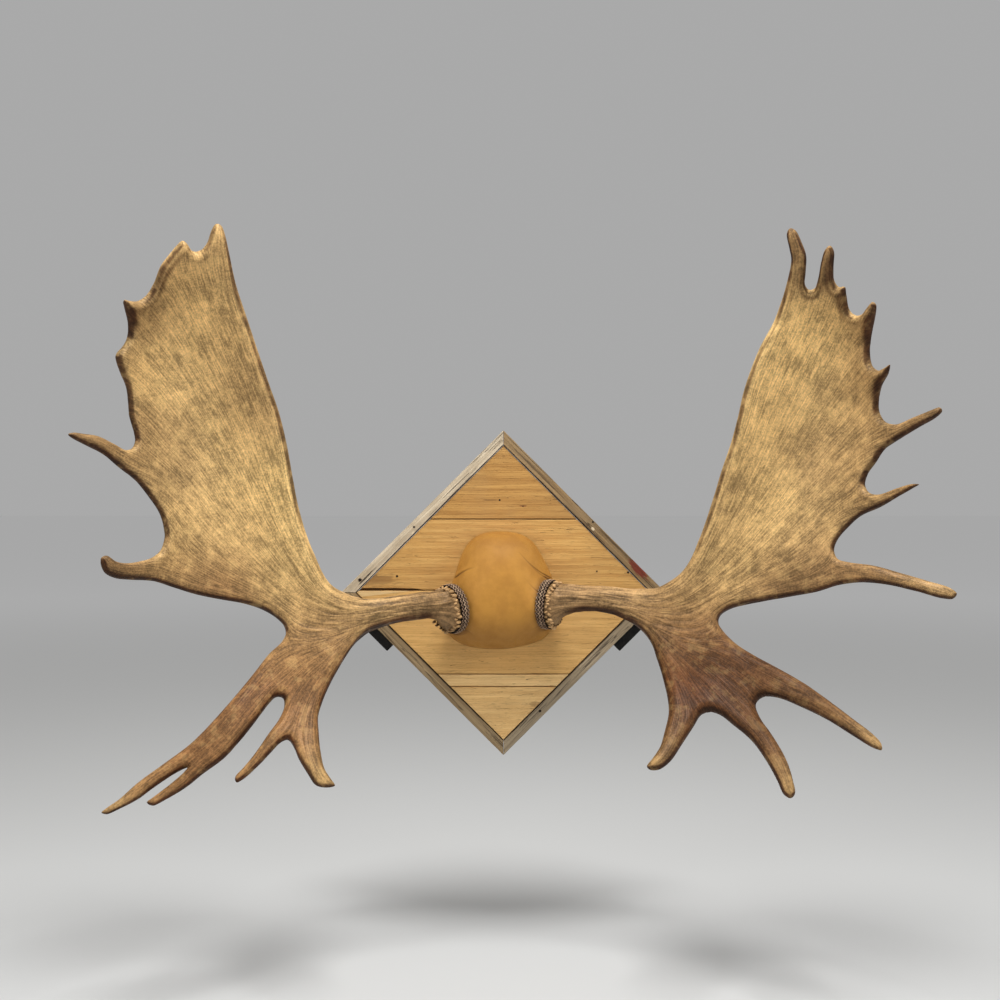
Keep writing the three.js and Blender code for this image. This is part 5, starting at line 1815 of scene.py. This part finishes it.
@dataclass
class Studio:
    """A pale floor, soft light and the camera."""

    floor_height: float = -0.62
    floor_size: float = 120.0

    def build(self) -> None:
        """Sets the stage, the lights, the sky and the camera."""
        half = self.floor_size / 2
        corners = np.array([(-half, -half, self.floor_height), (half, -half, self.floor_height),
                            (half, half, self.floor_height), (-half, half, self.floor_height)]) / MM
        floor = new_object("studio_floor", corners, [[0, 1, 2, 3]], smooth=False)
        material, wiring, shader = new_material("studio_floor", 0.9, 0.0)
        reach = wiring.add("ShaderNodeVectorMath", {0: wiring.place()}, operation="LENGTH").outputs["Value"]
        wiring.feed(shader.inputs["Base Color"], wiring.mix(wiring.ramp(reach, 1.5, 9.0), (0.62, 0.62, 0.61),
                                                            (0.97, 0.97, 0.97)))
        floor.data.materials.append(material)
        floor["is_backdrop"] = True
        for name, place, target, size, power in (
                ("ceiling_light", (0.1, -1.0, 2.6), (0, -0.1, 0.1), 1.1, 78.0),
                ("left_light", (-2.4, -2.2, 1.5), (-0.2, -0.1, 0.1), 1.6, 21.0),
                ("right_light", (2.4, -2.2, 1.3), (0.2, -0.1, 0.0), 1.6, 18.5)):
            light = bpy.data.lights.new(name, "AREA")
            light.shape = "DISK"
            light.size = size
            light.energy = power
            lamp = bpy.data.objects.new(name, light)
            lamp.location = place
            lamp.rotation_euler = (Vector(target) - Vector(place)).to_track_quat("-Z", "Y").to_euler()
            bpy.context.scene.collection.objects.link(lamp)
        world = bpy.data.worlds.new("pale_room")
        bpy.context.scene.world = world
        world.use_nodes = True
        sky = world.node_tree.nodes["Background"]
        sky.inputs["Color"].default_value = (0.95, 0.95, 0.95, 1)
        sky.inputs["Strength"].default_value = 0.42
        bpy.context.scene.view_settings.view_transform = "Standard"
        self._camera()

    @staticmethod
    def _camera() -> None:
        """Puts the camera at the patterns' eye, looking square at the wall."""
        view = bpy.data.cameras.new("camera")
        view.lens = 45.0
        view.sensor_width = 36.0
        camera = bpy.data.objects.new("camera", view)
        camera.location = Vector(EYE * MM)
        camera.rotation_euler = (math.pi / 2, 0, 0)
        bpy.context.scene.collection.objects.link(camera)
        bpy.context.scene.camera = camera


# ---- the mount


def add_antlers(patterns: Patterns) -> None:
    """Builds both antlers with their burr pearls and braided rings."""
    bone = AntlerFinish().material(patterns)
    braid = BraidFinish().material(patterns)
    for antler in (LEFT_ANTLER, RIGHT_ANTLER):
        side = antler.side.word
        nodes = [f"{side}_antler_{part}" for part in ("beam", "palm", "brow")]
        finish_piece(antler.build(), bone, "antler", *nodes)
        finish_piece(BurrPearls(antler.foot).build(bone), bone, "antler")
        finish_piece(BraidedRing(antler.foot).build(braid), braid, "braid_leather", f"{side}_braid")


def add_plaque(patterns: Patterns) -> None:
    """Builds the boards, rails, backer, blocks and nail ends."""
    plaque = Plaque()
    crack, rust, dirt = tint(84, 56, 32), tint(120, 70, 44), tint(120, 84, 50)
    # The lower boards' colours are raised towards white: painted light that makes up for the shade the
    # antlers cast on them.
    boards = (
        (tint(207, 159, 90), tint(156, 108, 52),
         ((-23.7, 164, 14, 0.8, crack, 0.8), (34.7, 153.4, 7, 1.6, rust, 0.7))),
        (tint(230, 182, 108), tint(180, 128, 64), ((-232.6, 22.4, 45, 12, dirt, 0.5),)),
        (tint(240, 192, 118), tint(200, 150, 84), ()),
        (tint(252, 214, 150), tint(220, 174, 110), ()),
        (tint(250, 208, 140), tint(212, 164, 100), ((56, -197, 10, 6, dirt, 0.4),)))
    for number, (pale, deep, marks) in enumerate(boards, 1):
        shift = (0.31 * number, 0.17 * number, 0.23 * number)
        finish = WoodFinish(f"board_wood_{number}", pale, deep, crack, shift=shift, rings=170.0, cracks=0.06,
                            weathering=0.10, marks=marks)
        finish_piece(plaque.board(number), finish.material(patterns), "board_wood", f"board_{number}")
    planed = WoodFinish("planed_wood", tint(238, 206, 150), tint(214, 172, 112), crack, cracks=0.0,
                        weathering=0.0)
    finish_piece(plaque.chip(), planed.material(patterns), "board_wood")
    soot_and_shadow, bare, paint = tint(46, 33, 24), tint(232, 212, 178), tint(122, 56, 42)
    # The dark lines that run the full length of each rail's inner edge are painted shadow of the gap to the
    # boards; the shorter dark marks and the cracks are soot.
    rails = (
        ("rail_upper_left", -1, 1, tint(242, 225, 196), tint(158, 138, 110),
         ((-160, 106, 4, 2.0, bare, 0.9), (-243, 27, 24, 1.5, soot_and_shadow, 0.9), (-253.5, 22.6, 4.5, 3.5, soot_and_shadow, 0.8),
          (-131, 131, 190, 1.6, soot_and_shadow, 0.8))),
        ("rail_upper_right", 1, 1, tint(166, 136, 94), tint(102, 78, 50),
         ((239, 42, 24, 9.0, paint, 0.95), (158, 113, 4, 2.4, bare, 0.9), (131, 131, 190, 1.6, soot_and_shadow, 0.85),
          (60, 214, 60, 2.2, soot_and_shadow, 0.55), (190, 92, 40, 2.0, soot_and_shadow, 0.5))),
        ("rail_lower_left", -1, -1, tint(182, 156, 116), tint(114, 90, 60),
         ((-131, -131, 190, 1.5, soot_and_shadow, 0.8), (-180, -104, 46, 1.6, soot_and_shadow, 0.5))),
        ("rail_lower_right", 1, -1, tint(186, 168, 140), tint(120, 104, 82),
         ((131, -131, 190, 1.5, soot_and_shadow, 0.8), (58, -214, 30, 1.4, soot_and_shadow, 0.5))))
    for number, (name, sign_x, sign_z, pale, deep, marks) in enumerate(rails, 1):
        turn = math.pi / 4 * (1 if sign_x * sign_z < 0 else -1)
        shift = (0.4 * number, 0.3 * number, 0.2 * number)
        finish = WoodFinish(f"rail_wood_{number}", pale, deep, soot_and_shadow, turn, shift, rings=240.0,
                            weathering=0.35, marks=marks)
        finish_piece(plaque.rail(f"{name}_bar", sign_x, sign_z, 20 + number), finish.material(patterns),
                     "rail_wood", name)
    ply = WoodFinish("backer_plywood", tint(206, 176, 130), tint(176, 138, 88), tint(110, 80, 50),
                     rings=40.0, cracks=0.0, weathering=0.1)
    finish_piece(plaque.backer(), ply.material(patterns), "backer_plywood", "backer_panel")
    black = PlainFinish("block_black", tint(20, 20, 21), tint(58, 56, 54), 0.75).material(patterns)
    for side in Side:
        finish_piece(plaque.block(side), black, "block_black", f"{side.word}_wall_block")
    nails = PlainFinish("rusty_nail", tint(26, 18, 14), tint(70, 44, 28), 0.85).material(patterns)
    finish_piece(NailHoles().build(nails), nails, "board_wood")


def main() -> None:
    """Builds the mount in order."""
    logging.basicConfig(level=logging.INFO, format="%(message)s")
    Studio().build()
    patterns = Patterns()
    add_antlers(patterns)
    cap = SkullCap((LEFT_ANTLER.foot, RIGHT_ANTLER.foot)).build()
    finish_piece(cap, LeatherFinish().material(patterns), "cap_leather", "skull_cap")
    add_plaque(patterns)
    [[list(corner) for corner in box] for box in (CAD_BOX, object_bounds())]


if __name__ == "__main__":
    main()
